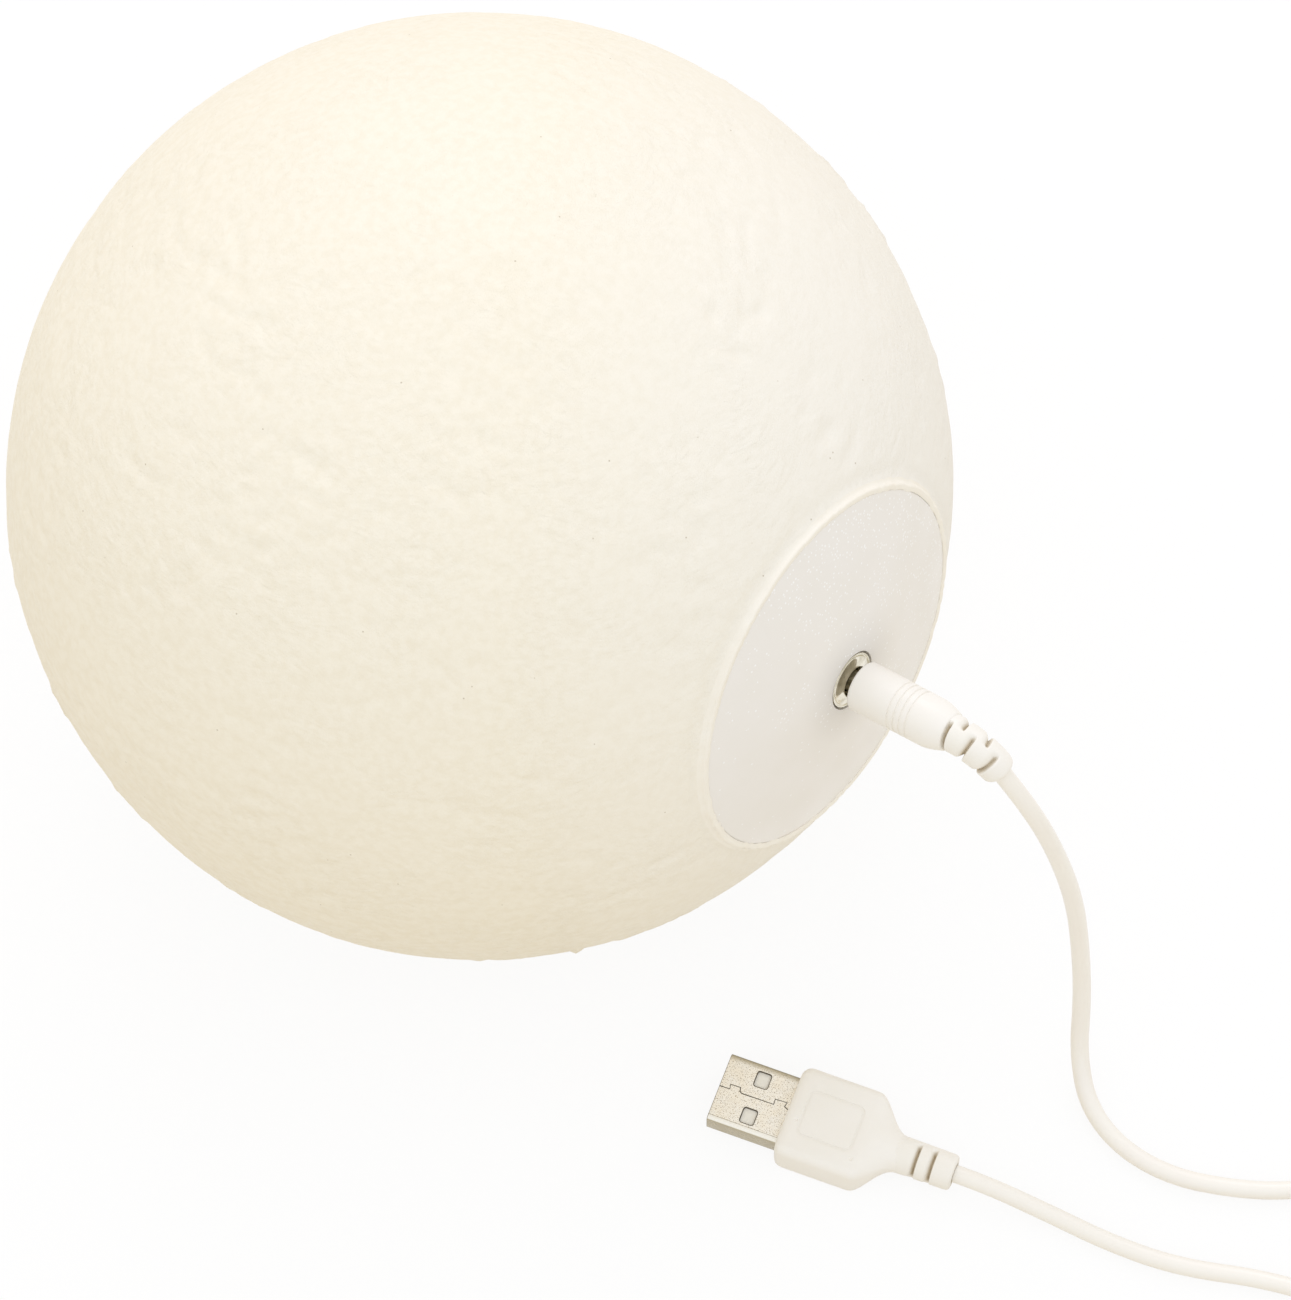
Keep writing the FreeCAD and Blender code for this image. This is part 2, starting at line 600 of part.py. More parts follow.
def main_board():
    """Round board that carries the jack and the charging and touch circuits."""
    board = rod(BOARD_RADIUS, BOARD_FOOT, BOARD_TOP)
    for place in PILLAR_PLACES:
        board = board.cut(rod(STUD_RADIUS + HOLE_CLEARANCE, BOARD_FOOT, BOARD_TOP, place))
    for place in terminal_places():
        board = board.cut(block(TERMINAL_WIDTH + 2 * HOLE_CLEARANCE,
                                TERMINAL_THICKNESS + 2 * HOLE_CLEARANCE, BOARD_THICKNESS,
                                Vector(place.x, place.y, BOARD_FOOT)))
    slot_length = WIRE_SPACING + 2 * WIRE_RADIUS + 2 * WIRE_SLOT_MARGIN
    slot_width = 2 * WIRE_RADIUS + WIRE_SLOT_MARGIN
    slot = block(slot_length, slot_width, BOARD_THICKNESS, Vector(0, WIRE_TURN, BOARD_FOOT))
    return lay_down(board.cut(slot))


def on_board(spread):
    """Place on top of the main board, from shares of its radius."""
    across, along = spread
    return Vector(BOARD_RADIUS * across, BOARD_RADIUS * along, BOARD_TOP)


def flat_chip(place):
    """Chip with a row of legs on each side."""
    lift = CHIP_LEG_WIDTH / 2
    chip = block(CHIP_LENGTH, CHIP_WIDTH, CHIP_HEIGHT - lift,
                 Vector(place.x, place.y, place.z + lift))
    for step in range(CHIP_LEG_COUNT):
        along = (step - (CHIP_LEG_COUNT - 1) / 2) * CHIP_LEG_PITCH
        leg = block(CHIP_LEG_WIDTH, CHIP_WIDTH + 2 * CHIP_LEG_REACH, CHIP_LEG_WIDTH,
                    Vector(place.x + along, place.y, place.z))
        chip = chip.fuse(leg)
    return chip


def touch_chip():
    """Chip that senses the touch on the ring."""
    across, along = CHIP_SPREAD
    return lay_down(flat_chip(on_board((-across, along))))


def charge_chip():
    """Chip that charges the cell."""
    return lay_down(flat_chip(on_board(CHIP_SPREAD)))


def capacitors():
    """Two can capacitors on square feet."""
    cans = []
    for spread in CAPACITOR_SPREADS:
        place = on_board(spread)
        foot_top = BOARD_TOP + CAPACITOR_BASE_HEIGHT
        foot = block(CAPACITOR_BASE, CAPACITOR_BASE, CAPACITOR_BASE_HEIGHT, place)
        can = rod(CAPACITOR_RADIUS, foot_top, BOARD_TOP + CAPACITOR_HEIGHT, place)
        cans.append(foot.fuse(can))
    return lay_down(group(cans))


def inductor():
    """Square power inductor with cut corners."""
    body = block(INDUCTOR_SIZE, INDUCTOR_SIZE, INDUCTOR_HEIGHT, on_board(INDUCTOR_SPREAD))
    upright = [edge for edge in body.Edges if abs(edge.Length - INDUCTOR_HEIGHT) < FIT]
    return lay_down(body.makeChamfer(INDUCTOR_CORNER_CUT, upright))


def battery_socket():
    """Two-way connector whose mouth faces the edge of the board."""
    place = Vector(0, SOCKET_END - SOCKET_WIDTH / 2, BOARD_TOP)
    socket = block(SOCKET_LENGTH, SOCKET_WIDTH, SOCKET_HEIGHT, place)
    mouth = Part.makeBox(SOCKET_LENGTH - 2 * SOCKET_WALL, SOCKET_WIDTH - SOCKET_WALL,
                         SOCKET_HEIGHT - 2 * SOCKET_WALL,
                         Vector(-SOCKET_LENGTH / 2 + SOCKET_WALL,
                                SOCKET_END - SOCKET_WIDTH + SOCKET_WALL,
                                BOARD_TOP + SOCKET_WALL))
    return lay_down(socket.cut(mouth))


def led_spacers():
    """Four spacers: studs through the main board into the cover, and holes for the screws."""
    spacers = []
    for place in PILLAR_PLACES:
        spacer = hexagon(SPACER_ACROSS_FLATS, SPACER_FOOT, BOARD_FOOT, place)
        spacer = spacer.fuse(rod(STUD_RADIUS, BOARD_FOOT, BOARD_TOP + STUD_LENGTH, place))
        hole = rod(SCREW_RADIUS + FIT, SPACER_FOOT, SPACER_FOOT + SCREW_LENGTH + FIT, place)
        spacers.append(spacer.cut(hole))
    return lay_down(group(spacers))


def led_board():
    """Round board that faces the middle of the ball."""
    board = rod(LED_BOARD_RADIUS, LED_BOARD_FOOT, SPACER_FOOT)
    for place in PILLAR_PLACES:
        board = board.cut(rod(SCREW_RADIUS + HOLE_CLEARANCE, LED_BOARD_FOOT, SPACER_FOOT, place))
    return lay_down(board)


def led_chips():
    """Flat white LEDs in a circle, each with a round lens."""
    chips = []
    for step in range(LED_COUNT):
        angle = 2 * math.pi * (step + 0.5) / LED_COUNT
        place = Vector(LED_CIRCLE * math.cos(angle), LED_CIRCLE * math.sin(angle),
                       LED_BOARD_FOOT - LED_HEIGHT)
        chip = block(LED_SIZE, LED_SIZE, LED_HEIGHT, place)
        cup = Part.makeCone(LED_LENS_RADIUS, LED_LENS_FLOOR_RADIUS, LED_LENS_DEPTH, place)
        chips.append(chip.cut(cup))
    return lay_down(group(chips))


def led_screws():
    """Four screws that hold the LED board on its spacers."""
    screws = []
    for place in PILLAR_PLACES:
        head_face = LED_BOARD_FOOT - SCREW_HEAD_HEIGHT
        head = rod(SCREW_HEAD_RADIUS, head_face, LED_BOARD_FOOT, place)
        shank = rod(SCREW_RADIUS, LED_BOARD_FOOT, SPACER_FOOT + SCREW_LENGTH, place)
        slot_place = Vector(place.x, place.y, head_face)
        slot = block(SCREW_SLOT_LENGTH, SCREW_SLOT_WIDTH, SCREW_SLOT_DEPTH, slot_place)
        cross_slot = block(SCREW_SLOT_WIDTH, SCREW_SLOT_LENGTH, SCREW_SLOT_DEPTH, slot_place)
        screws.append(head.fuse(shank).cut(slot).cut(cross_slot))
    return lay_down(group(screws))


def led_leads():
    """Three wires between the two boards."""
    wires = [rod(WIRE_RADIUS, SPACER_FOOT, BOARD_FOOT, place) for place in LED_LEAD_PLACES]
    return lay_down(group(wires))


# ---- Battery ------------------------------------------------------------------------------------


def battery_pouch():
    """Flat lithium cell between the two boards."""
    cell = block(CELL_WIDTH, CELL_LENGTH, CELL_THICKNESS,
                 Vector(0, CELL_OFFSET, CELL_TOP - CELL_THICKNESS))
    sides = [edge for edge in cell.Edges if abs(edge.Length - CELL_THICKNESS) > FIT]
    return lay_down(cell.makeFillet(min(CELL_ROUND, ROUND_LIMIT * CELL_THICKNESS), sides))


def battery_pad():
    """Foam frame that holds the cell to the board."""
    length = CELL_WIDTH - 2 * CELL_PAD_MARGIN
    width = CELL_LENGTH - 2 * CELL_PAD_MARGIN
    pad = block(length, width, CELL_PAD_THICKNESS, Vector(0, CELL_OFFSET, CELL_TOP))
    window = block(CELL_PAD_WINDOW, CELL_PAD_WINDOW, CELL_PAD_THICKNESS, Vector(0, 0, CELL_TOP))
    return lay_down(pad.cut(window))


def battery_leads():
    """Two wires from the cell, through the slot in the board, into the connector."""
    wires = []
    for side in (-1, 1):
        across = side * WIRE_SPACING / 2
        points = [
            Vector(across, CELL_END, CELL_MIDDLE),
            Vector(across, WIRE_TURN, CELL_MIDDLE),
            Vector(across, WIRE_TURN, SOCKET_WIRE_HEIGHT),
            Vector(across, SOCKET_END - SOCKET_WIDTH + SOCKET_WALL, SOCKET_WIRE_HEIGHT),
        ]
        path, _ = rounded_route(points)
        wires.append(sweep(path, points[0], points[1] - points[0], WIRE_RADIUS))
    return lay_down(group(wires))


# ---- Charging plug ------------------------------------------------------------------------------


def plug_sleeve():
    """Outer metal sleeve of the plug, held in its grip."""
    return lay_down(tube(SLEEVE_RADIUS, SLEEVE_RADIUS - SLEEVE_WALL, SLEEVE_TIP,
                         PLUG_FRONT + SLEEVE_HELD))


def plug_insulator():
    """Plastic tube between the sleeve and the contact."""
    contact_radius = JACK_PIN_RADIUS + FIT + CONTACT_WALL
    return lay_down(tube(SLEEVE_RADIUS - SLEEVE_WALL - FIT / 2, contact_radius + FIT / 2,
                         SLEEVE_TIP + FIT, PLUG_FRONT + SLEEVE_HELD))


def plug_contact():
    """Inner contact that takes the jack's pin."""
    bore = JACK_PIN_RADIUS + FIT
    return lay_down(tube(bore + CONTACT_WALL, bore, SLEEVE_TIP + CONTACT_SET_BACK,
                         PLUG_FRONT + SLEEVE_HELD))


def plug_grip():
    """Moulded grip with fine grooves and a rounded shoulder."""
    points = [
        (0, PLUG_FRONT + SLEEVE_HELD), (SLEEVE_RADIUS + FIT, PLUG_FRONT + SLEEVE_HELD),
        (SLEEVE_RADIUS + FIT, PLUG_FRONT), (GRIP_RADIUS, PLUG_FRONT, GRIP_FRONT_BEVEL),
    ]
    for step in range(GROOVE_COUNT):
        foot = PLUG_FRONT + GROOVE_START + step * GROOVE_PITCH
        points += [
            (GRIP_RADIUS, foot), (GRIP_RADIUS - GROOVE_DEPTH, foot + GROOVE_WIDTH / 4),
            (GRIP_RADIUS - GROOVE_DEPTH, foot + 3 * GROOVE_WIDTH / 4),
            (GRIP_RADIUS, foot + GROOVE_WIDTH),
        ]
    points += [
        (GRIP_RADIUS, SHOULDER_START, SHOULDER_LENGTH / 2), (SHOULDER_RADIUS, SHOULDER_END),
        (0, SHOULDER_END),
    ]
    return lay_down(spin(outline(points)))


def relief_point(share):
    """Point on the bent middle line of the plug's strain relief, and its heading there."""
    angle = math.radians(RELIEF_TURN * share)
    point = Vector(RELIEF_BEND_RADIUS * (1 - math.cos(angle)), 0,
                   SHOULDER_END + RELIEF_BEND_RADIUS * math.sin(angle))
    return point, Vector(math.sin(angle), 0, math.cos(angle))


def relief_stretch(start_share, end_share, radius):
    """Stretch of the bent strain relief, as a tube of one radius."""
    start, heading = relief_point(start_share)
    middle, _ = relief_point((start_share + end_share) / 2)
    end, _ = relief_point(end_share)
    path = Part.Wire([Part.Arc(start, middle, end).toShape()])
    return sweep(path, start, heading, radius)


def plug_strain_relief():
    """Ringed strain relief that bends down with the cord."""
    relief = relief_stretch(0, 1, RELIEF_CORE_RADIUS)
    pitch = 1 / RELIEF_RING_COUNT
    for step in range(RELIEF_RING_COUNT):
        notch = pitch * (1 - RELIEF_RING_SHARE) if step else 0
        ring_radius = RELIEF_RING_RADIUS - step * RELIEF_RING_TAPER
        relief = relief.fuse(relief_stretch(step * pitch + notch, (step + 1) * pitch, ring_radius))
    return lay_down(relief)


# ---- Cord ---------------------------------------------------------------------------------------


def coil_way(along, across, height):
    """Point beside the coil: along the way the cord runs in, and across to its left."""
    angle = math.radians(COIL_DIRECTION)
    return COIL_MIDDLE + Vector(along * math.cos(angle) - across * math.sin(angle),
                                along * math.sin(angle) + across * math.cos(angle), height)


COIL_IN = coil_way(-COIL_STRAIGHT, COIL_OUTER_RADIUS, COIL_FOOT)
COIL_OUT = coil_way(-COIL_STRAIGHT, -COIL_OUTER_RADIUS, COIL_HEAD)


def cord_lamp_run():
    """Cord from the lamp's plug down to the table, and along it to the coil."""
    end, heading = relief_point(1)
    exit_point = lay_point(end)
    exit_run = lay_point(end + heading * CORD_FIRST_RUN)
    route = [
        exit_point,
        exit_run,
        Vector(109.2, 2.0, 72.0),
        Vector(112.4, 3.9, 52.0),
        Vector(114.6, 3.8, 34.0),
        Vector(117.0, 2.0, 19.0),
        Vector(119.6, -2.0, 6.0),
        Vector(125.2, -7.2, 1.5),
        Vector(133.5, -10.2, 1.5),
        Vector(143.0, -9.6, 1.5),
        Vector(152.0, -5.8, 1.5),
        Vector(159.5, -1.2, 1.5),
        Vector(165.3, 4.3, 1.5),
        Vector(170.6, 16.0, 1.9),
        coil_way(-COIL_STRAIGHT - CORD_LAST_RUN, COIL_OUTER_RADIUS, COIL_FOOT),
        COIL_IN,
    ]
    return cord_tube("cord_lamp_run", route)


def cord_usb_run():
    """Cord from the top of the coil down to the table, and along it to the USB plug."""
    heading = Vector(math.cos(math.radians(USB_HEADING)), math.sin(math.radians(USB_HEADING)), 0)
    relief_end = USB_TIP + heading * USB_RELIEF_END + Vector(0, 0, USB_AXIS_HEIGHT)
    route = [
        relief_end,
        relief_end + heading * USB_FIRST_RUN,
        Vector(130.0, -26.4, 1.8),
        Vector(142.0, -24.6, 1.5),
        Vector(153.0, -21.6, 1.5),
        Vector(165.6, -15.2, 1.5),
        Vector(177.2, -12.4, 3.6),
        Vector(188.7, -10.6, 8.6),
        coil_way(-COIL_STRAIGHT - CORD_LAST_RUN, -COIL_OUTER_RADIUS, COIL_HEAD),
        COIL_OUT,
    ]
    return cord_tube("cord_usb_run", route)


def smooth_step(share):
    """Rise from 0 to 1 that starts and ends level."""
    return share * share * (3 - 2 * share)


def coil_place(turns):
    """Middle line of the coil after some turns: in and out at a steady rate, up by layers."""
    layer = min(int(turns / COIL_TURNS_PER_LAYER), COIL_LAYERS - 1)
    into = turns - layer * COIL_TURNS_PER_LAYER
    inward = into if layer % 2 == 0 else COIL_TURNS_PER_LAYER - into
    radius = COIL_OUTER_RADIUS - COIL_PITCH * inward
    height = COIL_FOOT + layer * COIL_PITCH
    to_next = COIL_TURNS_PER_LAYER - into
    if to_next < COIL_CLIMB / 2 and layer < COIL_LAYERS - 1:
        height += COIL_PITCH * smooth_step(0.5 - to_next / COIL_CLIMB)
    if into < COIL_CLIMB / 2 and layer > 0:
        height -= COIL_PITCH * smooth_step(0.5 - into / COIL_CLIMB)
    angle = math.radians(90 + COIL_DIRECTION) - 2 * math.pi * turns
    return COIL_MIDDLE + Vector(radius * math.cos(angle), radius * math.sin(angle), height)


def biarc(start, start_heading, end, end_heading):
    """Two arcs that join smoothly, from one point and heading to another."""
    chord = end - start
    both = start_heading + end_heading
    spread = 2 * (1 - start_heading.dot(end_heading))
    along = chord.dot(both)
    reach = (-along + math.sqrt(along ** 2 + spread * chord.dot(chord))) / spread
    first_corner = start + start_heading * reach
    second_corner = end - end_heading * reach
    join = (first_corner + second_corner) / 2

    def arc(foot, corner, head):
        middle = (foot + head) / 2
        half_angle = math.atan2((corner - middle).Length, (head - foot).Length / 2)
        bulge = math.tan(half_angle / 2) / math.tan(half_angle)
        return Part.Arc(foot, middle + (corner - middle) * bulge, head).toShape()

    return [arc(start, first_corner, join), arc(join, second_corner, end)]


def coil_route():
    """Edges of the coil's middle line, with a straight run at each end."""
    total = COIL_TURNS_PER_LAYER * COIL_LAYERS
    quarters = int(round(total * 4))
    places = [coil_place(total * step / quarters) for step in range(quarters + 1)]
    way_in = (coil_way(1, 0, 0) - coil_way(0, 0, 0))
    headings = [way_in]
    for step in range(1, quarters):
        near = total * step / quarters
        nudge = 0.01
        headings.append((coil_place(near + nudge) - coil_place(near - nudge)).normalize())
    headings.append(way_in * -1)
    edges = [Part.LineSegment(COIL_IN, places[0]).toShape()]
    for step in range(quarters):
        edges += biarc(places[step], headings[step], places[step + 1], headings[step + 1])
    edges.append(Part.LineSegment(places[-1], COIL_OUT).toShape())
    return edges


def least_gap(edges):
    """Least gap between turns of the coil, measured on points along it."""
    points = []
    distances = []
    passed = 0
    for edge in edges:
        samples = edge.discretize(COIL_SAMPLES)[:-1]
        points += samples
        distances += [passed + edge.Length * step / len(samples) for step in range(len(samples))]
        passed += edge.Length
    apart = 4 * CORD_DIAMETER
    least = min(
        (points[one] - points[other]).Length
        for one in range(len(points))
        for other in range(one + 1, len(points))
        if distances[other] - distances[one] > apart
    )
    return least - CORD_DIAMETER


def cord_coil():
    """The length of cord that is put away, wound in layers as one unbroken tube."""
    edges = coil_route()
    path = Part.Wire(edges)
    print("cord_coil length %.1f" % path.Length, "turns", COIL_TURNS_PER_LAYER * COIL_LAYERS,
          "least gap %.2f" % least_gap(edges))
    solid = sweep(path, COIL_IN, coil_way(1, 0, 0) - coil_way(0, 0, 0), CORD_RADIUS)
    expected = math.pi * CORD_RADIUS ** 2 * path.Length
    print("cord_coil volume over section times length %.4f" % (solid.Volume / expected))
    return solid


def cord_tie():
    """Flat tie round the coil, closed with a button on top."""
    inner_radius = COIL_OUTER_RADIUS - COIL_PITCH * COIL_TURNS_PER_LAYER - CORD_RADIUS
    near = inner_radius - TIE_CLEARANCE
    far = COIL_OUTER_RADIUS + CORD_RADIUS + TIE_CLEARANCE
    top = COIL_HEAD + CORD_RADIUS + TIE_CLEARANCE
    hole = Part.makeBox(far - near, TIE_WIDTH, top - TIE_THICKNESS,
                        Vector(near, -TIE_WIDTH / 2, TIE_THICKNESS))
    band = Part.makeBox(far - near + 2 * TIE_THICKNESS, TIE_WIDTH, top + TIE_THICKNESS,
                        Vector(near - TIE_THICKNESS, -TIE_WIDTH / 2, 0))

    def crosswise(solid):
        return [edge for edge in solid.Edges
                if abs(edge.Vertexes[0].Y - edge.Vertexes[1].Y) > TIE_WIDTH / 2]

    hole = hole.makeFillet(TIE_CLEARANCE, crosswise(hole))
    band = band.makeFillet(TIE_ROUND / 2, crosswise(band))
    button = Part.makeCylinder(TIE_BUTTON_RADIUS, TIE_BUTTON_HEIGHT,
                               Vector((near + far) / 2, 0, top + TIE_THICKNESS))
    tie = band.cut(hole).fuse(button)
    tie.rotate(Vector(0, 0, 0), Vector(0, 0, 1), COIL_DIRECTION)
    tie.translate(COIL_MIDDLE)
    return tie


# ---- USB plug, drawn along +X with its tip at the origin ----------------------------------------


def rounded_bar(start, end, width, height, radius):
    """Bar along +X about the USB plug's axis, with its long edges rounded."""
    bar = Part.makeBox(end - start, width, height,
                       Vector(start, -width / 2, USB_AXIS_HEIGHT - height / 2))
    if radius <= 0:
        return bar
    long_edges = [edge for edge in bar.Edges
                  if abs(edge.Vertexes[0].X - edge.Vertexes[1].X) > (end - start) / 2]
    return bar.makeFillet(radius, long_edges)


def usb_windows():
    """Tools that cut the shell's windows, through both faces."""
    tools = []
    for side in (-1, 1):
        tool = Part.makeBox(USB_WINDOW_LENGTH, USB_WINDOW_WIDTH, 2 * USB_SHELL_HEIGHT,
                            Vector(USB_WINDOW_FROM_TIP - USB_WINDOW_LENGTH / 2,
                                   side * USB_WINDOW_SPACING / 2 - USB_WINDOW_WIDTH / 2,
                                   USB_AXIS_HEIGHT - USB_SHELL_HEIGHT))
        upright = [edge for edge in tool.Edges if abs(edge.Length - 2 * USB_SHELL_HEIGHT) < FIT]
        tools.append(tool.makeFillet(USB_WINDOW_ROUND, upright))
    return tools


def usb_shell():
    """Plated shell with two windows in each face."""
    end = USB_SHELL_LENGTH + USB_SHELL_HELD
    shell = rounded_bar(0, end, USB_SHELL_WIDTH, USB_SHELL_HEIGHT, USB_SHELL_ROUND)
    hollow = rounded_bar(0, end, USB_SHELL_WIDTH - 2 * USB_SHELL_WALL,
                         USB_SHELL_HEIGHT - 2 * USB_SHELL_WALL,
                         max(USB_SHELL_ROUND - USB_SHELL_WALL, 0))
    shell = shell.cut(hollow)
    for tool in usb_windows():
        shell = shell.cut(tool)
    return set_usb(shell)


def usb_tongue():
    """Insulating tongue under the upper face, which shows through the windows."""
    tongue = Part.makeBox(USB_SHELL_LENGTH - USB_TONGUE_SET_BACK, TONGUE_WIDTH,
                          USB_TONGUE_THICKNESS,
                          Vector(USB_TONGUE_SET_BACK, -TONGUE_WIDTH / 2, TONGUE_FOOT))
    front = [
        edge for edge in tongue.Edges
        if edge.CenterOfMass.x < USB_TONGUE_SET_BACK + FIT
        and abs(edge.CenterOfMass.z - TONGUE_FOOT) < FIT
    ]
    return set_usb(tongue.makeChamfer(USB_TONGUE_BEVEL, front))


def usb_contacts():
    """Four contact strips under the tongue."""
    strips = []
    for step in range(USB_CONTACT_COUNT):
        across = (step - (USB_CONTACT_COUNT - 1) / 2) * USB_CONTACT_PITCH
        strips.append(Part.makeBox(
            USB_CONTACT_LENGTH, USB_CONTACT_WIDTH, USB_CONTACT_THICKNESS,
            Vector(USB_SHELL_LENGTH - USB_CONTACT_LENGTH, across - USB_CONTACT_WIDTH / 2,
                   TONGUE_FOOT - USB_CONTACT_THICKNESS)))
    return set_usb(group(strips))


def usb_carrier():
    """Moulded block behind the tongue, inside the end of the shell."""
    return set_usb(rounded_bar(
        USB_SHELL_LENGTH, USB_SHELL_LENGTH + USB_SHELL_HELD,
        USB_SHELL_WIDTH - 2 * USB_SHELL_WALL - 2 * FIT,
        USB_SHELL_HEIGHT - 2 * USB_SHELL_WALL - 2 * FIT,
        max(USB_SHELL_ROUND - USB_SHELL_WALL, 0)))


def grip_section(at, width, height, radius):
    """Rounded rectangle across the USB plug's axis, for a loft."""
    half = width / 2
    foot = USB_AXIS_HEIGHT - height / 2
    top = USB_AXIS_HEIGHT + height / 2
    corners = [
        Vector(at, -half, foot), Vector(at, half, foot), Vector(at, half, top),
        Vector(at, -half, top),
    ]
    edges = []
    starts = []
    ends = []
    for index, corner in enumerate(corners):
        start, end, arc = corner_arc(corners[index - 1], corner, corners[(index + 1) % 4], radius)
        starts.append(start)
        ends.append(end)
        edges.append(arc)
    sides = [Part.LineSegment(ends[index], starts[(index + 1) % 4]).toShape() for index in range(4)]
    ordered = [edge for pair in zip(edges, sides) for edge in pair]
    return Part.Wire(ordered)


def usb_grip():
    """Moulded grip with a blank panel outline, tapering in a smooth curve to the neck."""
    front = USB_SHELL_LENGTH
    taper_start = front + USB_GRIP_LENGTH
    bevel = USB_GRIP_FRONT_BEVEL
    full = (USB_GRIP_WIDTH, USB_GRIP_HEIGHT, USB_GRIP_ROUND)
    body = Part.makeLoft([
        grip_section(front, USB_GRIP_WIDTH - 2 * bevel, USB_GRIP_HEIGHT - 2 * bevel, USB_GRIP_ROUND),
        grip_section(front + bevel, *full),
        grip_section(taper_start, *full),
    ], True, True)
    neck = 2 * USB_NECK_RADIUS
    neck_round = USB_NECK_RADIUS * USB_NECK_ROUND_SHARE
    sections = []
    for step in range(USB_TAPER_STEPS + 1):
        share = step / USB_TAPER_STEPS
        ease = (1 + math.cos(math.pi * share)) / 2
        sections.append(grip_section(
            taper_start + share * USB_GRIP_TAPER,
            neck + (USB_GRIP_WIDTH - neck) * ease,
            neck + (USB_GRIP_HEIGHT - neck) * ease,
            neck_round + (USB_GRIP_ROUND - neck_round) * ease))
    grip = body.fuse(Part.makeLoft(sections, True, True))

    held_end = USB_SHELL_LENGTH + USB_SHELL_HELD
    grip = grip.cut(rounded_bar(USB_SHELL_LENGTH, held_end + FIT, USB_SHELL_WIDTH + 2 * FIT,
                                USB_SHELL_HEIGHT + 2 * FIT, USB_SHELL_ROUND))
    return set_usb(grip.cut(panel_line()))


def panel_line():
    """Tool that cuts the outline of the blank panel into the grip's upper face."""
    start = USB_SHELL_LENGTH + USB_PANEL_FROM_FRONT
    foot = USB_GRIP_HEIGHT - USB_PANEL_DEPTH

    def plate(inset, radius):
        plate_box = Part.makeBox(USB_PANEL_LENGTH - 2 * inset, USB_PANEL_WIDTH - 2 * inset,
                                 2 * USB_PANEL_DEPTH,
                                 Vector(start + inset, inset - USB_PANEL_WIDTH / 2, foot))
        upright = [edge for edge in plate_box.Edges
                   if abs(edge.Length - 2 * USB_PANEL_DEPTH) < USB_PANEL_DEPTH / 4]
        return plate_box.makeFillet(radius, upright)

    return plate(0, USB_PANEL_CORNER).cut(
        plate(USB_PANEL_LINE, USB_PANEL_CORNER - USB_PANEL_LINE))


def usb_strain_relief():
    """Round strain relief of the USB plug, with two grooves."""
    groove_foot = USB_RELIEF_RADIUS - USB_RELIEF_GROOVE_DEPTH
    points = [(0, 0), (USB_RELIEF_RADIUS, 0)]
    for share in USB_RELIEF_GROOVE_SHARES:
        start = share * USB_RELIEF_LENGTH
        points += [
            (USB_RELIEF_RADIUS, start), (groove_foot, start),
            (groove_foot, start + USB_RELIEF_GROOVE), (USB_RELIEF_RADIUS, start + USB_RELIEF_GROOVE),
        ]
    points += [
        (USB_RELIEF_RADIUS, USB_RELIEF_LENGTH, USB_RELIEF_GROOVE), (0, USB_RELIEF_LENGTH),
    ]
    relief = spin(outline(points))
    relief.rotate(Vector(0, 0, 0), Vector(0, 1, 0), 90)
    relief.translate(Vector(USB_GRIP_END, 0, USB_AXIS_HEIGHT))
    return set_usb(relief)


# ---- Write one file per piece -------------------------------------------------------------------

PIECES = [
    moon_shell, base_cover,
    touch_ring, jack_nut, touch_tag, touch_lead, jack_body, jack_pin, jack_spring, jack_terminals,
    main_board, touch_chip, charge_chip, capacitors, inductor, battery_socket,
    battery_pouch, battery_pad, battery_leads,
    led_spacers, led_board, led_chips, led_screws, led_leads,
    plug_sleeve, plug_insulator, plug_contact, plug_grip, plug_strain_relief,
    cord_lamp_run, cord_coil, cord_tie, cord_usb_run,
    usb_strain_relief, usb_grip, usb_shell, usb_tongue, usb_contacts, usb_carrier,
]

os.makedirs("parts", exist_ok=True)
for make_piece in PIECES:
    piece = make_piece()
    name = make_piece.__name__
    print(name, len(piece.Solids), "solid(s), valid", piece.isValid(),
          "volume %.1f" % piece.Volume)
    piece.exportStep("parts/%s.step" % name)
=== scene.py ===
"""Looks of a moon lamp and its charging lead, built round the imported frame.

The lamp is a ball of translucent plastic with a shallow, fibrous relief. It lies on its side, so
that its domed base cover, with the plated ring of the charging jack, faces the camera's right. A
thin white lead runs from the jack over the table to a wound-up coil and back to its USB plug.
"""
import json
import logging
import math
import random
from dataclasses import dataclass
from enum import Enum
from functools import partial
from typing import Any, Callable, Iterable, Sequence

import bmesh
import bpy
from mathutils import Matrix, Vector, kdtree, noise

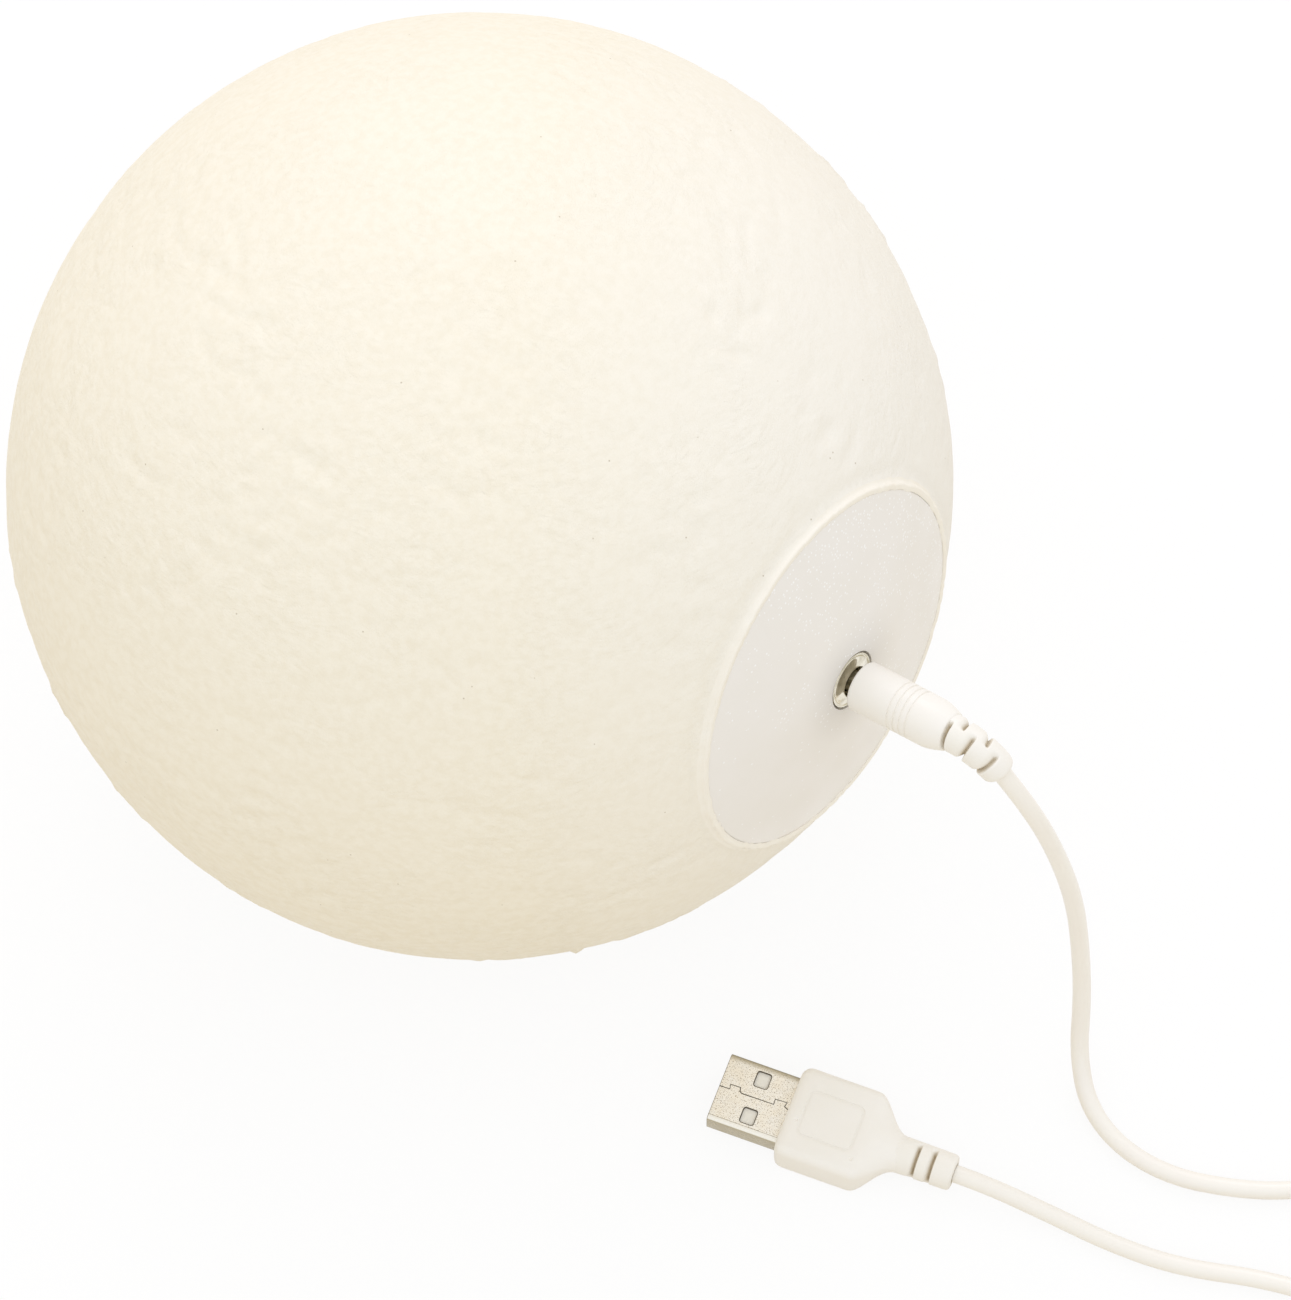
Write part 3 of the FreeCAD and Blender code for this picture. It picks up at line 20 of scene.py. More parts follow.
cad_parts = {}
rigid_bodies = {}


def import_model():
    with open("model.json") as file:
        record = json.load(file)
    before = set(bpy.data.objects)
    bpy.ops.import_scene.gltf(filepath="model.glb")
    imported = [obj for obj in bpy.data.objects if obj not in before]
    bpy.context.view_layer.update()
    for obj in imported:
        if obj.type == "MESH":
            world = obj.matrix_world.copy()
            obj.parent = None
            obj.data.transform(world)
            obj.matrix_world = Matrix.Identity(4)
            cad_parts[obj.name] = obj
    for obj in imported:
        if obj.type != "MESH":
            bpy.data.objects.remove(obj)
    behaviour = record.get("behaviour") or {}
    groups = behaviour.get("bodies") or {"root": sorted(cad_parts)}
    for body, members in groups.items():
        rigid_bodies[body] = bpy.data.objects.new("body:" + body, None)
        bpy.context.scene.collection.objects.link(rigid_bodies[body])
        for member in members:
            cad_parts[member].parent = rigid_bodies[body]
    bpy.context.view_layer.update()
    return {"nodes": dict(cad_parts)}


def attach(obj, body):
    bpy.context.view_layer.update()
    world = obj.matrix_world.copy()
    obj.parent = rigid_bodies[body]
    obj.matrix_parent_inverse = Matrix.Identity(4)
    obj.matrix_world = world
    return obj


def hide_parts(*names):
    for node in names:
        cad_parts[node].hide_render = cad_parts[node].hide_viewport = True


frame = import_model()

log = logging.getLogger("moon_lamp")

Object = bpy.types.Object
Node = bpy.types.Node
Socket = bpy.types.NodeSocket
Tree = bpy.types.NodeTree
Test = Callable[[Any], bool]
Layers = tuple[tuple[float, float, tuple[int, int, int]], ...]
Profile = tuple[tuple[float, float, float], ...]

MM = 0.001
NEAR = 0.01 * MM                    # nearer than this counts as the same place
WELD = 0.002 * MM                   # points nearer than this are merged

# ---- Where things stand, as in the part's source ------------------------------------------------

AXIS_TILT = math.radians(15.0)      # the lamp's axis points up out of the table by this much
BALL_RADIUS = 75.0 * MM
REST_FLAT_DEPTH = 0.6 * MM
LAMP_PLACE = (Matrix.Translation((0, 0, BALL_RADIUS - REST_FLAT_DEPTH))
              @ Matrix.Rotation(math.radians(90) - AXIS_TILT, 4, "Y"))

LIP_RADIUS = 31.3 * MM
LIP_FOOT = math.sqrt(BALL_RADIUS ** 2 - LIP_RADIUS ** 2)
OPENING_RADIUS = 30.2 * MM
SHELF_TOP = LIP_FOOT - 6.6 * MM
SNAP_GROOVE_MIDDLE = LIP_FOOT - 3.4 * MM

COVER_RADIUS = 30.05 * MM
COVER_EDGE = LIP_FOOT - 0.3 * MM
DOME_TOP = COVER_EDGE + 6.0 * MM
RING_FACE = DOME_TOP - 0.2 * MM
BOARD_TOP = RING_FACE - 14.6 * MM

PLUG_FRONT = RING_FACE + 1.9 * MM
SHOULDER_START = PLUG_FRONT + 13.3 * MM
SHOULDER_END = SHOULDER_START + 4.0 * MM
RELIEF_BEND_RADIUS = 8.9 * MM
RELIEF_TURN = math.radians(63.5)    # a little less than the CAD's, as the photograph shows it

CORD_DIAMETER = 3.0 * MM

USB_TIP = (75.2 * MM, -40.4 * MM, 0.0)
USB_HEADING = math.radians(14.6)
USB_AXIS_HEIGHT = 4.0 * MM
USB_PLACE = Matrix.Translation(USB_TIP) @ Matrix.Rotation(USB_HEADING, 4, "Z")
USB_FRONT = 12.0 * MM               # front of the grip, from the tip of the shell
USB_GRIP_END = USB_FRONT + 19.6 * MM
USB_RELIEF_END = USB_GRIP_END + 9.1 * MM

COIL_MIDDLE = Vector((197.2, 16.4, 0)) * MM
COIL_DIRECTION = math.radians(35.2)
COIL_OUTER_RADIUS = 19.7 * MM
COIL_PITCH = 3.5 * MM
COIL_TURNS_PER_LAYER = 1.875
COIL_LAYERS = 4
COIL_FOOT = 2.3 * MM
COIL_HEAD = COIL_FOOT + (COIL_LAYERS - 1) * COIL_PITCH


# ---- Modelling tools ----------------------------------------------------------------------------


class Pick(Enum):
    """What a selection is made of."""

    VERTS = "VERT"
    EDGES = "EDGE"
    FACES = "FACE"


class Run(Enum):
    """How a line runs between its control points."""

    STRAIGHT = "POLY"
    SMOOTH = "NURBS"


@dataclass(frozen=True)
class Corner:
    """One corner of a turned profile.

    Args:
        radius: distance from the axis, in metres.
        height: place along the axis, in metres.
        rounding: radius that rounds the corner, or 0.
    """

    radius: float
    height: float
    rounding: float = 0.0


def deselect_all() -> None:
    """Deselect every object, the frame's nodes among them."""
    for item in list(bpy.context.view_layer.objects):
        item.select_set(False)


def add_object(name: str, data: Any) -> Object:
    """Put a new object into the scene.

    Args:
        name: its name.
        data: its curve, light or camera data.

    Returns:
        The object.
    """
    item = bpy.data.objects.new(name, data)
    bpy.context.collection.objects.link(item)
    return item


def focus(piece: Object) -> None:
    """Select one piece alone and make it the active one.

    Args:
        piece: the piece.
    """
    deselect_all()
    piece.select_set(True)
    bpy.context.view_layer.objects.active = piece


def start_edit(piece: Object) -> None:
    """Open a piece in edit mode."""
    focus(piece)
    bpy.ops.object.mode_set(mode="EDIT")


def end_edit() -> None:
    """Leave edit mode."""
    bpy.ops.object.mode_set(mode="OBJECT")


def select_all() -> None:
    """Select the whole mesh in edit mode."""
    bpy.ops.mesh.select_all(action="SELECT")


def close_up(fill: bool) -> None:
    """In edit mode, merge doubled points, cap open ends if asked, and point the faces outwards.

    Args:
        fill: whether open ends are capped.
    """
    select_all()
    bpy.ops.mesh.remove_doubles(threshold=WELD)
    if fill:
        bpy.ops.mesh.fill_holes(sides=0)
        select_all()
    bpy.ops.mesh.normals_make_consistent(inside=False)


def select(piece: Object, pick: Pick, test: Test) -> int:
    """Select the parts of a mesh in edit mode that pass a test.

    Args:
        piece: the object that is open in edit mode.
        pick: vertices, edges or faces.
        test: takes one vertex, edge or face and says whether it is wanted.

    Returns:
        How many are selected.
    """
    bpy.ops.mesh.select_mode(type=pick.value)
    bpy.ops.mesh.select_all(action="DESELECT")
    mesh = bmesh.from_edit_mesh(piece.data)
    groups = {Pick.VERTS: mesh.verts, Pick.EDGES: mesh.edges, Pick.FACES: mesh.faces}
    wanted = [item for item in groups[pick] if test(item)]
    for item in wanted:
        item.select_set(True)
    mesh.select_flush_mode()
    bmesh.update_edit_mesh(piece.data)
    return len(wanted)


def settle(name: str) -> Object:
    """Name the active object and bring its origin to the world's, with its place in its mesh.

    Args:
        name: the object's new name.

    Returns:
        The object.
    """
    piece = bpy.context.active_object
    piece.name = name
    piece.data.name = name
    bpy.ops.object.transform_apply(location=True, rotation=True, scale=True)
    return piece


def place(piece: Object, matrix: Matrix) -> None:
    """Move a finished piece to its place, and keep that place in its mesh.

    Args:
        piece: the finished piece.
        matrix: the move.
    """
    focus(piece)
    piece.matrix_world = matrix @ piece.matrix_world
    bpy.ops.object.transform_apply(location=True, rotation=True, scale=True)


def dress_part(piece: Object, finish: "Finish", test: Test) -> None:
    """Give the faces of a dressed piece that pass a test a finish of their own.

    Args:
        piece: the dressed piece.
        finish: the finish of those faces.
        test: says of a face whether it is one of them.
    """
    piece.data.materials.append(finish.material())
    start_edit(piece)
    select(piece, Pick.FACES, test)
    piece.active_material_index = len(piece.data.materials) - 1
    bpy.ops.object.material_slot_assign()
    end_edit()


def smooth(piece: Object, degrees: float = 40.0) -> None:
    """Shade a piece smoothly, apart from edges sharper than an angle."""
    focus(piece)
    bpy.ops.object.shade_smooth_by_angle(angle=math.radians(degrees))


def face_out(piece: Object) -> None:
    """Merge a piece's doubled points and point its faces outwards.

    Args:
        piece: the piece.
    """
    start_edit(piece)
    close_up(fill=False)
    end_edit()


def add_modifier(piece: Object, kind: str, **settings: Any) -> None:
    """Add a modifier with its settings, and apply it.

    Args:
        piece: the object to change.
        kind: Blender's name for the modifier.
        settings: its settings by name.
    """
    focus(piece)
    modifier = piece.modifiers.new(kind.title(), kind)
    for name, value in settings.items():
        setattr(modifier, name, value)
    bpy.ops.object.modifier_apply(modifier=modifier.name)


def draw_line(name: str, route: Sequence[Sequence[float]], run: Run, radius: float,
              roundness: int) -> Object:
    """Draw a round, capped line.

    Args:
        name: its name.
        route: its control points, in metres.
        run: how it runs between them.
        radius: radius of its cross-section.
        roundness: how finely the cross-section is divided.

    Returns:
        The line, still a curve.
    """
    line = bpy.data.curves.new(name, "CURVE")
    line.dimensions = "3D"
    line.bevel_depth = radius
    line.bevel_resolution = roundness
    line.use_fill_caps = True
    spline = line.splines.new(run.value)
    spline.points.add(len(route) - 1)
    for point, spot in zip(spline.points, route):
        point.co = (*spot, 1)
    return add_object(name, line)


def carve(piece: Object, cutter: Object) -> None:
    """Cut one solid out of another, keep the cutter's finish on the cut faces, and remove it.

    Args:
        piece: the solid that stays.
        cutter: the solid that is cut out of it.
    """
    add_modifier(piece, "BOOLEAN", operation="DIFFERENCE", solver="EXACT", object=cutter,
                 material_mode="TRANSFER")
    bpy.data.objects.remove(cutter, do_unlink=True)
    bpy.context.view_layer.update()


def join(first: Object, others: Iterable[Object]) -> Object:
    """Join solids into one piece, each still closed in itself.

    Args:
        first: the solid that the others join.
        others: the others.

    Returns:
        The joined piece.
    """
    focus(first)
    for other in others:
        other.select_set(True)
    bpy.ops.object.join()
    return bpy.context.active_object


def draw_rings(corners: Sequence[Corner]) -> None:
    """Extrude the selected circle about the Z axis from corner to corner.

    Args:
        corners: where the circle is now, and then where each extrusion takes it.
    """
    for before, after in zip(corners, corners[1:]):
        bpy.ops.mesh.extrude_region_move(
            TRANSFORM_OT_translate={"value": (0, 0, after.height - before.height)})
        share = after.radius / before.radius
        bpy.ops.transform.resize(value=(share, share, 1), center_override=(0, 0, after.height))


def turned(name: str, corners: Sequence[Corner], segments: int = 96, ring: bool = False,
           steps: int = 4) -> Object:
    """Turn a profile about the Z axis: a circle, extruded and resized from corner to corner.

    Args:
        name: the piece's name.
        corners: the profile, in order.
        segments: sides of each circle.
        ring: whether the profile closes on itself. Otherwise its two ends are capped.
        steps: segments of each rounding.

    Returns:
        The turned solid, standing about the Z axis.
    """
    first = corners[0]
    deselect_all()
    bpy.ops.mesh.primitive_circle_add(vertices=segments, radius=first.radius,
                                      location=(0, 0, first.height))
    piece = settle(name)
    start_edit(piece)
    bpy.ops.mesh.select_mode(type="EDGE")
    select_all()
    draw_rings(list(corners) + ([first] if ring else []))
    close_up(fill=not ring)
    for corner in corners:
        if corner.rounding:
            select(piece, Pick.EDGES, lambda edge: all(
                abs(vert.co.z - corner.height) < NEAR
                and abs(math.hypot(vert.co.x, vert.co.y) - corner.radius) < NEAR
                for vert in edge.verts))
            bpy.ops.mesh.bevel(offset=corner.rounding, segments=steps, affect="EDGES",
                               profile=0.5, clamp_overlap=False)
    end_edit()
    return piece


def box(name: str, low: Sequence[float], high: Sequence[float]) -> Object:
    """Block between two corners, in metres.

    Args:
        name: the piece's name.
        low: its lowest corner.
        high: its highest corner.

    Returns:
        The block.
    """
    middle = [(a + b) / 2 for a, b in zip(low, high)]
    deselect_all()
    bpy.ops.mesh.primitive_cube_add(size=1, location=middle,
                                    scale=[b - a for a, b in zip(low, high)])
    return settle(name)


def bevel_edges(piece: Object, offset: float, steps: int,
                test: Test) -> None:
    """Round the edges that pass a test.

    Args:
        piece: the piece.
        offset: radius of the rounding, in metres.
        steps: its segments.
        test: says of an edge whether it is rounded.
    """
    start_edit(piece)
    select(piece, Pick.EDGES, test)
    bpy.ops.mesh.bevel(offset=offset, segments=steps, affect="EDGES", profile=0.5)
    end_edit()


def rounded_box(name: str, low: Sequence[float], high: Sequence[float], rounding: float,
                axis: int, steps: int = 5) -> Object:
    """Block between two corners whose edges along one axis are rounded.

    Args:
        name: the piece's name.
        low: its lowest corner, in metres.
        high: its highest corner.
        rounding: radius of the rounding.
        axis: 0, 1 or 2 for the edges along the X, Y or Z axis.
        steps: segments of each rounding.

    Returns:
        The block.
    """
    block = box(name, low, high)
    bevel_edges(block, rounding, steps, lambda edge: abs(
        (edge.verts[1].co - edge.verts[0].co)[axis]) > 0.999 * edge.calc_length())
    return block


def smooth_step(share: float) -> float:
    """Rise from 0 to 1 that starts and ends level."""
    share = min(max(share, 0.0), 1.0)
    return share * share * (3 - 2 * share)


# ---- Finishes -----------------------------------------------------------------------------------

MIX_FACTOR, MIX_A, MIX_B = 0, 6, 7      # inputs of a Mix node that mixes colours


def linear(colour: str) -> tuple[float, float, float, float]:
    """Turn an sRGB hex colour into the linear one that nodes take.

    Args:
        colour: six hex digits.

    Returns:
        Red, green, blue and alpha.
    """
    parts = [int(colour[at:at + 2], 16) / 255 for at in (0, 2, 4)]
    bright = [part / 12.92 if part <= 0.04045 else ((part + 0.055) / 1.055) ** 2.4
              for part in parts]
    return (bright[0], bright[1], bright[2], 1.0)


def output(source: Any) -> Socket:
    """Turn a node into its first output in use. An output stays as it is.

    Args:
        source: the node or output.

    Returns:
        The output.
    """
    if isinstance(source, Node):
        return next(socket for socket in source.outputs if socket.enabled)
    return source


def add_node(tree: Tree, kind: str, inputs: dict[Any, Any] | None = None,
             stops: Sequence[tuple[float, str]] = (), **settings: Any) -> Node:
    """Add a node with its settings and links.

    Args:
        tree: the material's nodes.
        kind: Blender's name for the node, without its first word.
        inputs: a value, or a node or output to link, for each input by name or number.
        stops: place and hex colour of both stops, on a colour ramp.
        settings: the node's settings by name.

    Returns:
        The new node.
    """
    node = tree.nodes.new("ShaderNode" + kind)
    for name, value in settings.items():
        setattr(node, name, value)
    for socket, value in (inputs or {}).items():
        if isinstance(value, (Node, Socket)):
            tree.links.new(output(value), node.inputs[socket])
        else:
            node.inputs[socket].default_value = value
    if stops:
        for element, (spot, colour) in zip(node.color_ramp.elements, stops):
            element.position, element.color = spot, linear(colour)
    return node


class Surface:
    """A material while it is built: its nodes, where its pattern is laid out, and its shader."""

    def __init__(self, tree: Tree, drawn_at: Matrix | None, values: dict[str, float]) -> None:
        """Start with the coordinates and the shader.

        Args:
            tree: the material's empty nodes.
            drawn_at: where the sub-assembly's own frame stands, or None for the row frame.
            values: what is the same all over, by the shader's input.
        """
        self.tree = tree
        self.add = partial(add_node, tree)
        self.spot = self.add("TexCoord").outputs["Object"]
        if drawn_at is not None:
            back = drawn_at.inverted()
            self.spot = output(self.add("Mapping", {
                "Vector": self.spot, "Location": back.translation, "Rotation": back.to_euler()}))
        self.shader = self.add("BsdfPrincipled", values)

    def feed(self, name: str, source: Node) -> None:
        """Link a node to one of the shader's inputs."""
        self.tree.links.new(output(source), self.shader.inputs[name])

    def fed(self, name: str) -> Socket:
        """Output that feeds one of the shader's inputs by now."""
        return self.shader.inputs[name].links[0].from_socket

    def tint(self, mask: Any, colour: str) -> None:
        """Lay a second colour, sRGB hex, over the base colour where a mask is 1.

        Args:
            mask: how much of it shows, as a node or output.
            colour: the second colour, sRGB hex.
        """
        self.feed("Base Color", self.add("Mix", {
            MIX_FACTOR: mask, MIX_A: self.fed("Base Color"), MIX_B: linear(colour)},
            data_type="RGBA"))

    def flecks(self, spacing: float, full: float, end: float, above: Any) -> Node:
        """Mask of round flecks in some cells of a loose pattern.

        Args:
            spacing: size of the cells, in metres.
            full: distance from a cell's middle, in cells, up to which a fleck is full.
            end: distance at which it ends.
            above: a cell has a fleck where its random share is above this value or node.

        Returns:
            The mask.
        """
        cells = self.add("TexVoronoi", {"Vector": self.spot, "Scale": 1 / spacing})
        fleck = self.add("MapRange", {
            "Value": cells, "From Min": full, "From Max": end, "To Min": 1.0, "To Max": 0.0})
        share = self.add("SeparateColor", {"Color": cells.outputs["Color"]})
        some = self.add("Math", {0: share, 1: above}, operation="GREATER_THAN")
        return self.add("Math", {0: fleck, 1: some}, operation="MULTIPLY")


def empty_nodes(owner: Any) -> Tree:
    """Give a material or a world nodes, with none in them yet.

    Args:
        owner: the material or world.

    Returns:
        Its nodes.
    """
    owner.use_nodes = True
    owner.node_tree.nodes.clear()
    return owner.node_tree


@dataclass(frozen=True)
class Finish:
    """A moulded, drawn or plated surface with soft clouds of colour, uneven gloss and a fine grain.

    Args:
        name: the real material and how its surface was made.
        colour: its main colour, sRGB hex.
        cloud: the colour it drifts to, sRGB hex.
        roughness: its mean roughness.
        gloss_drift: how far the roughness drifts either way.
        cloud_size: size of the clouds, in metres.
        grain_size: size of the grain, in metres.
        grain_depth: depth of the grain, in metres.
        metallic: 1 for bare metal.
        ior: index of refraction, where it isn't a metal.
        drawn_at: where its pattern is laid out from, or None for the row frame.
    """

    name: str
    colour: str
    cloud: str
    roughness: float
    gloss_drift: float = 0.06
    cloud_size: float = 8.0 * MM
    grain_size: float = 0.5 * MM
    grain_depth: float = 0.01 * MM
    metallic: float = 0.0
    ior: float = 1.46
    drawn_at: Matrix | None = None

    def material(self) -> bpy.types.Material:
        """Build the material once, and return it.

        Returns:
            The material.
        """
        material = bpy.data.materials.get(self.name)
        if material:
            return material
        material = bpy.data.materials.new(self.name)
        metal = {"Metallic": self.metallic}
        on = Surface(empty_nodes(material), self.drawn_at,
                     metal if self.metallic else metal | {"IOR": self.ior})
        clouds = on.add("TexNoise", {"Vector": on.spot, "Scale": 1 / self.cloud_size,
                                     "Detail": 3.0})
        on.feed("Base Color", on.add("ValToRGB", {"Fac": clouds},
                                     stops=((0.35, self.cloud), (0.62, self.colour))))
        on.feed("Roughness", on.add("MapRange", {
            "Value": clouds, "From Min": 0.3, "From Max": 0.7,
            "To Min": self.roughness + self.gloss_drift,
            "To Max": self.roughness - self.gloss_drift}))
        grain = on.add("TexNoise", {"Vector": on.spot, "Scale": 1 / self.grain_size})
        on.feed("Normal", on.add("Bump", {"Height": grain, "Distance": self.grain_depth}))
        self.detail(on)
        on.add("OutputMaterial", {"Surface": on.shader})
        return material

    def detail(self, on: Surface) -> None:
        """Add what only this finish has. A plain one has nothing more."""

    def dress(self, *pieces: Object) -> None:
        """Give pieces this finish, in every material slot they have.

        Args:
            pieces: the pieces.
        """
        for piece in pieces:
            if not piece.material_slots:
                piece.data.materials.append(None)
            for slot in piece.material_slots:
                slot.material = self.material()


@dataclass(frozen=True)
class MoonFinish(Finish):
    """Translucent cream plastic, cast with a worn relief: fine wrinkles and a few pin-holes."""

    wrinkle_size: float = 1.25 * MM
    wrinkle_depth: float = 0.14 * MM
    streak_step: float = 0.5 * MM       # between the three samples that draw a wrinkle out
    streak_pole: tuple[float, float, float] = (-0.164, 0.233, 0.957)
    patch_size: float = 15.0 * MM       # of the rougher and the more worn parts
    stray_size: float = 13.0 * MM
    stray: float = 0.16                 # how far the streaks' direction strays
    painted_light_side: tuple[float, float, float] = (0.86, 0.5, 0.1)    # painted light: the side facing the cool light, towards the opening and up
    painted_light: str = "f7f5f0"
    hole_spacing: float = 3.6 * MM
    hole_edge: float = 0.19 / 3.6       # its radius as a share of the spacing
    hole_rarity: float = 0.72
    hole: str = "a8987c"
    hole_strength: float = 0.55

    def detail(self, on: Surface) -> None:
        """Painted light, paler and cooler, on the side towards the opening; wrinkles finer than the
        mesh, dark pin-holes.

        Args:
            on: the material that is being built.
        """
        centred = on.add("VectorMath", {0: on.spot, 1: LAMP_PLACE.translation},
                         operation="SUBTRACT")
        # Painted light: the ball is tinted paler and cooler on the side that faces the cool light
        side = on.add("VectorMath", {0: centred, 1: Vector(self.painted_light_side) / BALL_RADIUS},
                      operation="DOT_PRODUCT")
        on.tint(on.add("MapRange", {"Value": side, "From Min": 0.2, "To Max": 0.9}), self.painted_light)
        patches = on.add("TexNoise", {"Vector": on.spot, "Scale": 1 / self.patch_size})
        worn = on.add("MapRange", {
            "Value": patches, "From Min": 0.36, "From Max": 0.62, "To Min": 0.3})
        on.feed("Normal", on.add("Bump", {
            "Height": self.streaks(on, centred), "Distance": self.wrinkle_depth,
            "Strength": worn, "Normal": on.fed("Normal")}))
        holes = on.flecks(self.hole_spacing, self.hole_edge / 2, self.hole_edge, self.hole_rarity)
        on.tint(on.add("Math", {0: holes, 1: self.hole_strength}, operation="MULTIPLY"),
                self.hole)

    def streaks(self, on: Surface, centred: Node) -> Any:
        """Height of the fine wrinkles, drawn out round the streaks' pole by three samples.

        Args:
            on: the material.
            centred: place from the ball's middle.

        Returns:
            The output with the height.
        """
        across = on.add("VectorMath", {0: centred, 1: Vector(self.streak_pole)},
                        operation="CROSS_PRODUCT")
        astray = on.add("TexNoise", {
            "Vector": on.spot, "Scale": 1 / self.stray_size, "Detail": 0.0})
        level = on.add("VectorMath", {0: astray.outputs["Color"], 1: (0.5, 0.5, 0.5)},
                       operation="SUBTRACT")
        strayed = on.add("VectorMath", {0: level, 1: (self.stray,) * 3, 2: across},
                         operation="MULTIPLY_ADD")
        along = on.add("VectorMath", {0: strayed}, operation="NORMALIZE")
        height: Any = 0.0
        for step in (-self.streak_step, 0, self.streak_step):
            moved = on.add("VectorMath", {0: along, 1: (step,) * 3, 2: on.spot},
                           operation="MULTIPLY_ADD")
            sample = on.add("TexNoise", {
                "Vector": moved, "Scale": 1 / self.wrinkle_size, "Detail": 3.0,
                "Roughness": 0.62, "Distortion": 0.3})
            height = on.add("Math", {0: sample, 1: height}, operation="ADD")
        return height


@dataclass(frozen=True)
class CoverFinish(Finish):
    """Pearl-grey ABS, glittery on one side, with painted shade round the jack."""

    jack_shade: str = "e2dfdb"
    jack_shade_start: float = 5.0 * MM
    jack_shade_end: float = 13.0 * MM
    jack_shade_strength: float = 0.6
    glitter: str = "ffffff"
    glitter_spacing: float = 0.5 * MM
    glitter_edge: tuple[float, float] = (0.24, 0.42)
    glitter_patch: float = 7.0 * MM
    glitter_side: tuple[float, float, float] = (-6.0, 9.0, 0.0)     # towards where it is dense

    def detail(self, on: Surface) -> None:
        """Painted shade by distance from the lamp's axis, and bright flakes in patches.

        Args:
            on: the material that is being built.
        """
        # Painted shade: darker round the jack, fading out away from the lamp's axis
        across = on.add("VectorMath", {0: on.spot, 1: (1, 1, 0)}, operation="MULTIPLY")
        away = on.add("VectorMath", {0: across}, operation="LENGTH")
        on.tint(on.add("MapRange", {
            "Value": away, "From Min": self.jack_shade_start, "From Max": self.jack_shade_end,
            "To Min": self.jack_shade_strength, "To Max": 0.0},
            interpolation_type="SMOOTHSTEP"), self.jack_shade)
        patches = on.add("TexNoise", {"Vector": on.spot, "Scale": 1 / self.glitter_patch})
        side = on.add("VectorMath", {0: on.spot, 1: self.glitter_side}, operation="DOT_PRODUCT")
        dense = on.add("Math", {0: patches, 1: side}, operation="ADD")
        rare = on.add("MapRange", {
            "Value": dense, "From Min": 0.42, "From Max": 0.8, "To Min": 0.985, "To Max": 0.64})
        on.tint(on.flecks(self.glitter_spacing, *self.glitter_edge, rare), self.glitter)


@dataclass(frozen=True)
class ShellFinish(Finish):
    """Plated sheet with a fine speckle, and painted reflections: bright and dark bands along its
    folded edges.
    """

    speckle_size: float = 0.19 * MM
    speckle: str = "8c7b58"
    # Painted reflection bands by place on the plug: axis, where each starts and is full in mm,
    # colour, strength
    painted_reflection_bands: tuple[tuple[str, float, float, str, float], ...] = (
        ("Y", 4.75, 5.5, "b3a88c", 0.8), ("Y", 5.62, 5.7, "8f8466", 0.8),
        ("Y", -5.05, -5.12, "8d8064", 0.8), ("Y", -5.14, -5.2, "fffdf6", 0.95),
        ("Y", -5.86, -5.94, "bab096", 1.0), ("X", 0.14, 0.08, "7d7156", 0.85))

    def detail(self, on: Surface) -> None:
        """Speckle, and painted reflection bands along the folded edges and the tip.

        Args:
            on: the material that is being built.
        """
        rolls = on.add("TexNoise", {"Vector": on.spot, "Scale": 1 / self.speckle_size,
                                    "Detail": 1.0})
        on.tint(on.add("MapRange", {
            "Value": rolls, "From Min": 0.55, "From Max": 0.68, "To Max": 0.75}), self.speckle)
        apart = on.add("SeparateXYZ", {"Vector": on.spot})
        for axis, start, full, colour, strength in self.painted_reflection_bands:
            on.tint(on.add("MapRange", {
                "Value": apart.outputs[axis], "From Min": start * MM, "From Max": full * MM,
                "To Max": strength}), colour)


@dataclass(frozen=True)
class SlottedFinish(Finish):
    """A moulded surface with painted shade where it faces itself closely."""

    reach: float = 1.4 * MM
    slot_shade: str = "bba985"
    samples: int = 12

    def detail(self, on: Surface) -> None:
        """Painted shade by how closed in the surface is.

        Args:
            on: the material that is being built.
        """
        closeness = on.add("AmbientOcclusion", {"Distance": self.reach}, samples=self.samples)
        on.tint(on.add("MapRange", {
            "Value": closeness.outputs["AO"], "From Min": 0.2, "From Max": 0.85,
            "To Min": 0.85, "To Max": 0.0}), self.slot_shade)


@dataclass(frozen=True)
class TwoTone(Finish):
    """A finish with a second colour on the +Y side of the sub-assembly."""

    other: str = "1d1d1f"

    def detail(self, on: Surface) -> None:
        """Lay the second colour beyond the middle.

        Args:
            on: the material that is being built.
        """
        apart = on.add("SeparateXYZ", {"Vector": on.spot})
        on.tint(on.add("Math", {0: apart.outputs["Y"], 1: 0.0}, operation="GREATER_THAN"),
                self.other)


@dataclass(frozen=True)
class BoardFinish(Finish):
    """Solder mask over glass-fibre board: copper tracks show through it as raised, paler lines."""

    track_spacing: float = 3.2 * MM
    track_height: float = 0.035 * MM
    track: str = "2f8a4d"

    def detail(self, on: Surface) -> None:
        """Tracks along the walls of square cells.

        Args:
            on: the material that is being built.
        """
        cells = on.add("TexVoronoi", {
            "Vector": on.spot, "Scale": 1 / self.track_spacing, "Randomness": 0.7},
            distance="MANHATTAN", feature="F2")
        track = on.add("Math", {0: cells, 1: 0.62, 2: 0.05}, operation="COMPARE")
        on.feed("Normal", on.add("Bump", {
            "Height": track, "Distance": self.track_height, "Normal": on.fed("Normal")}))
        on.tint(track, self.track)


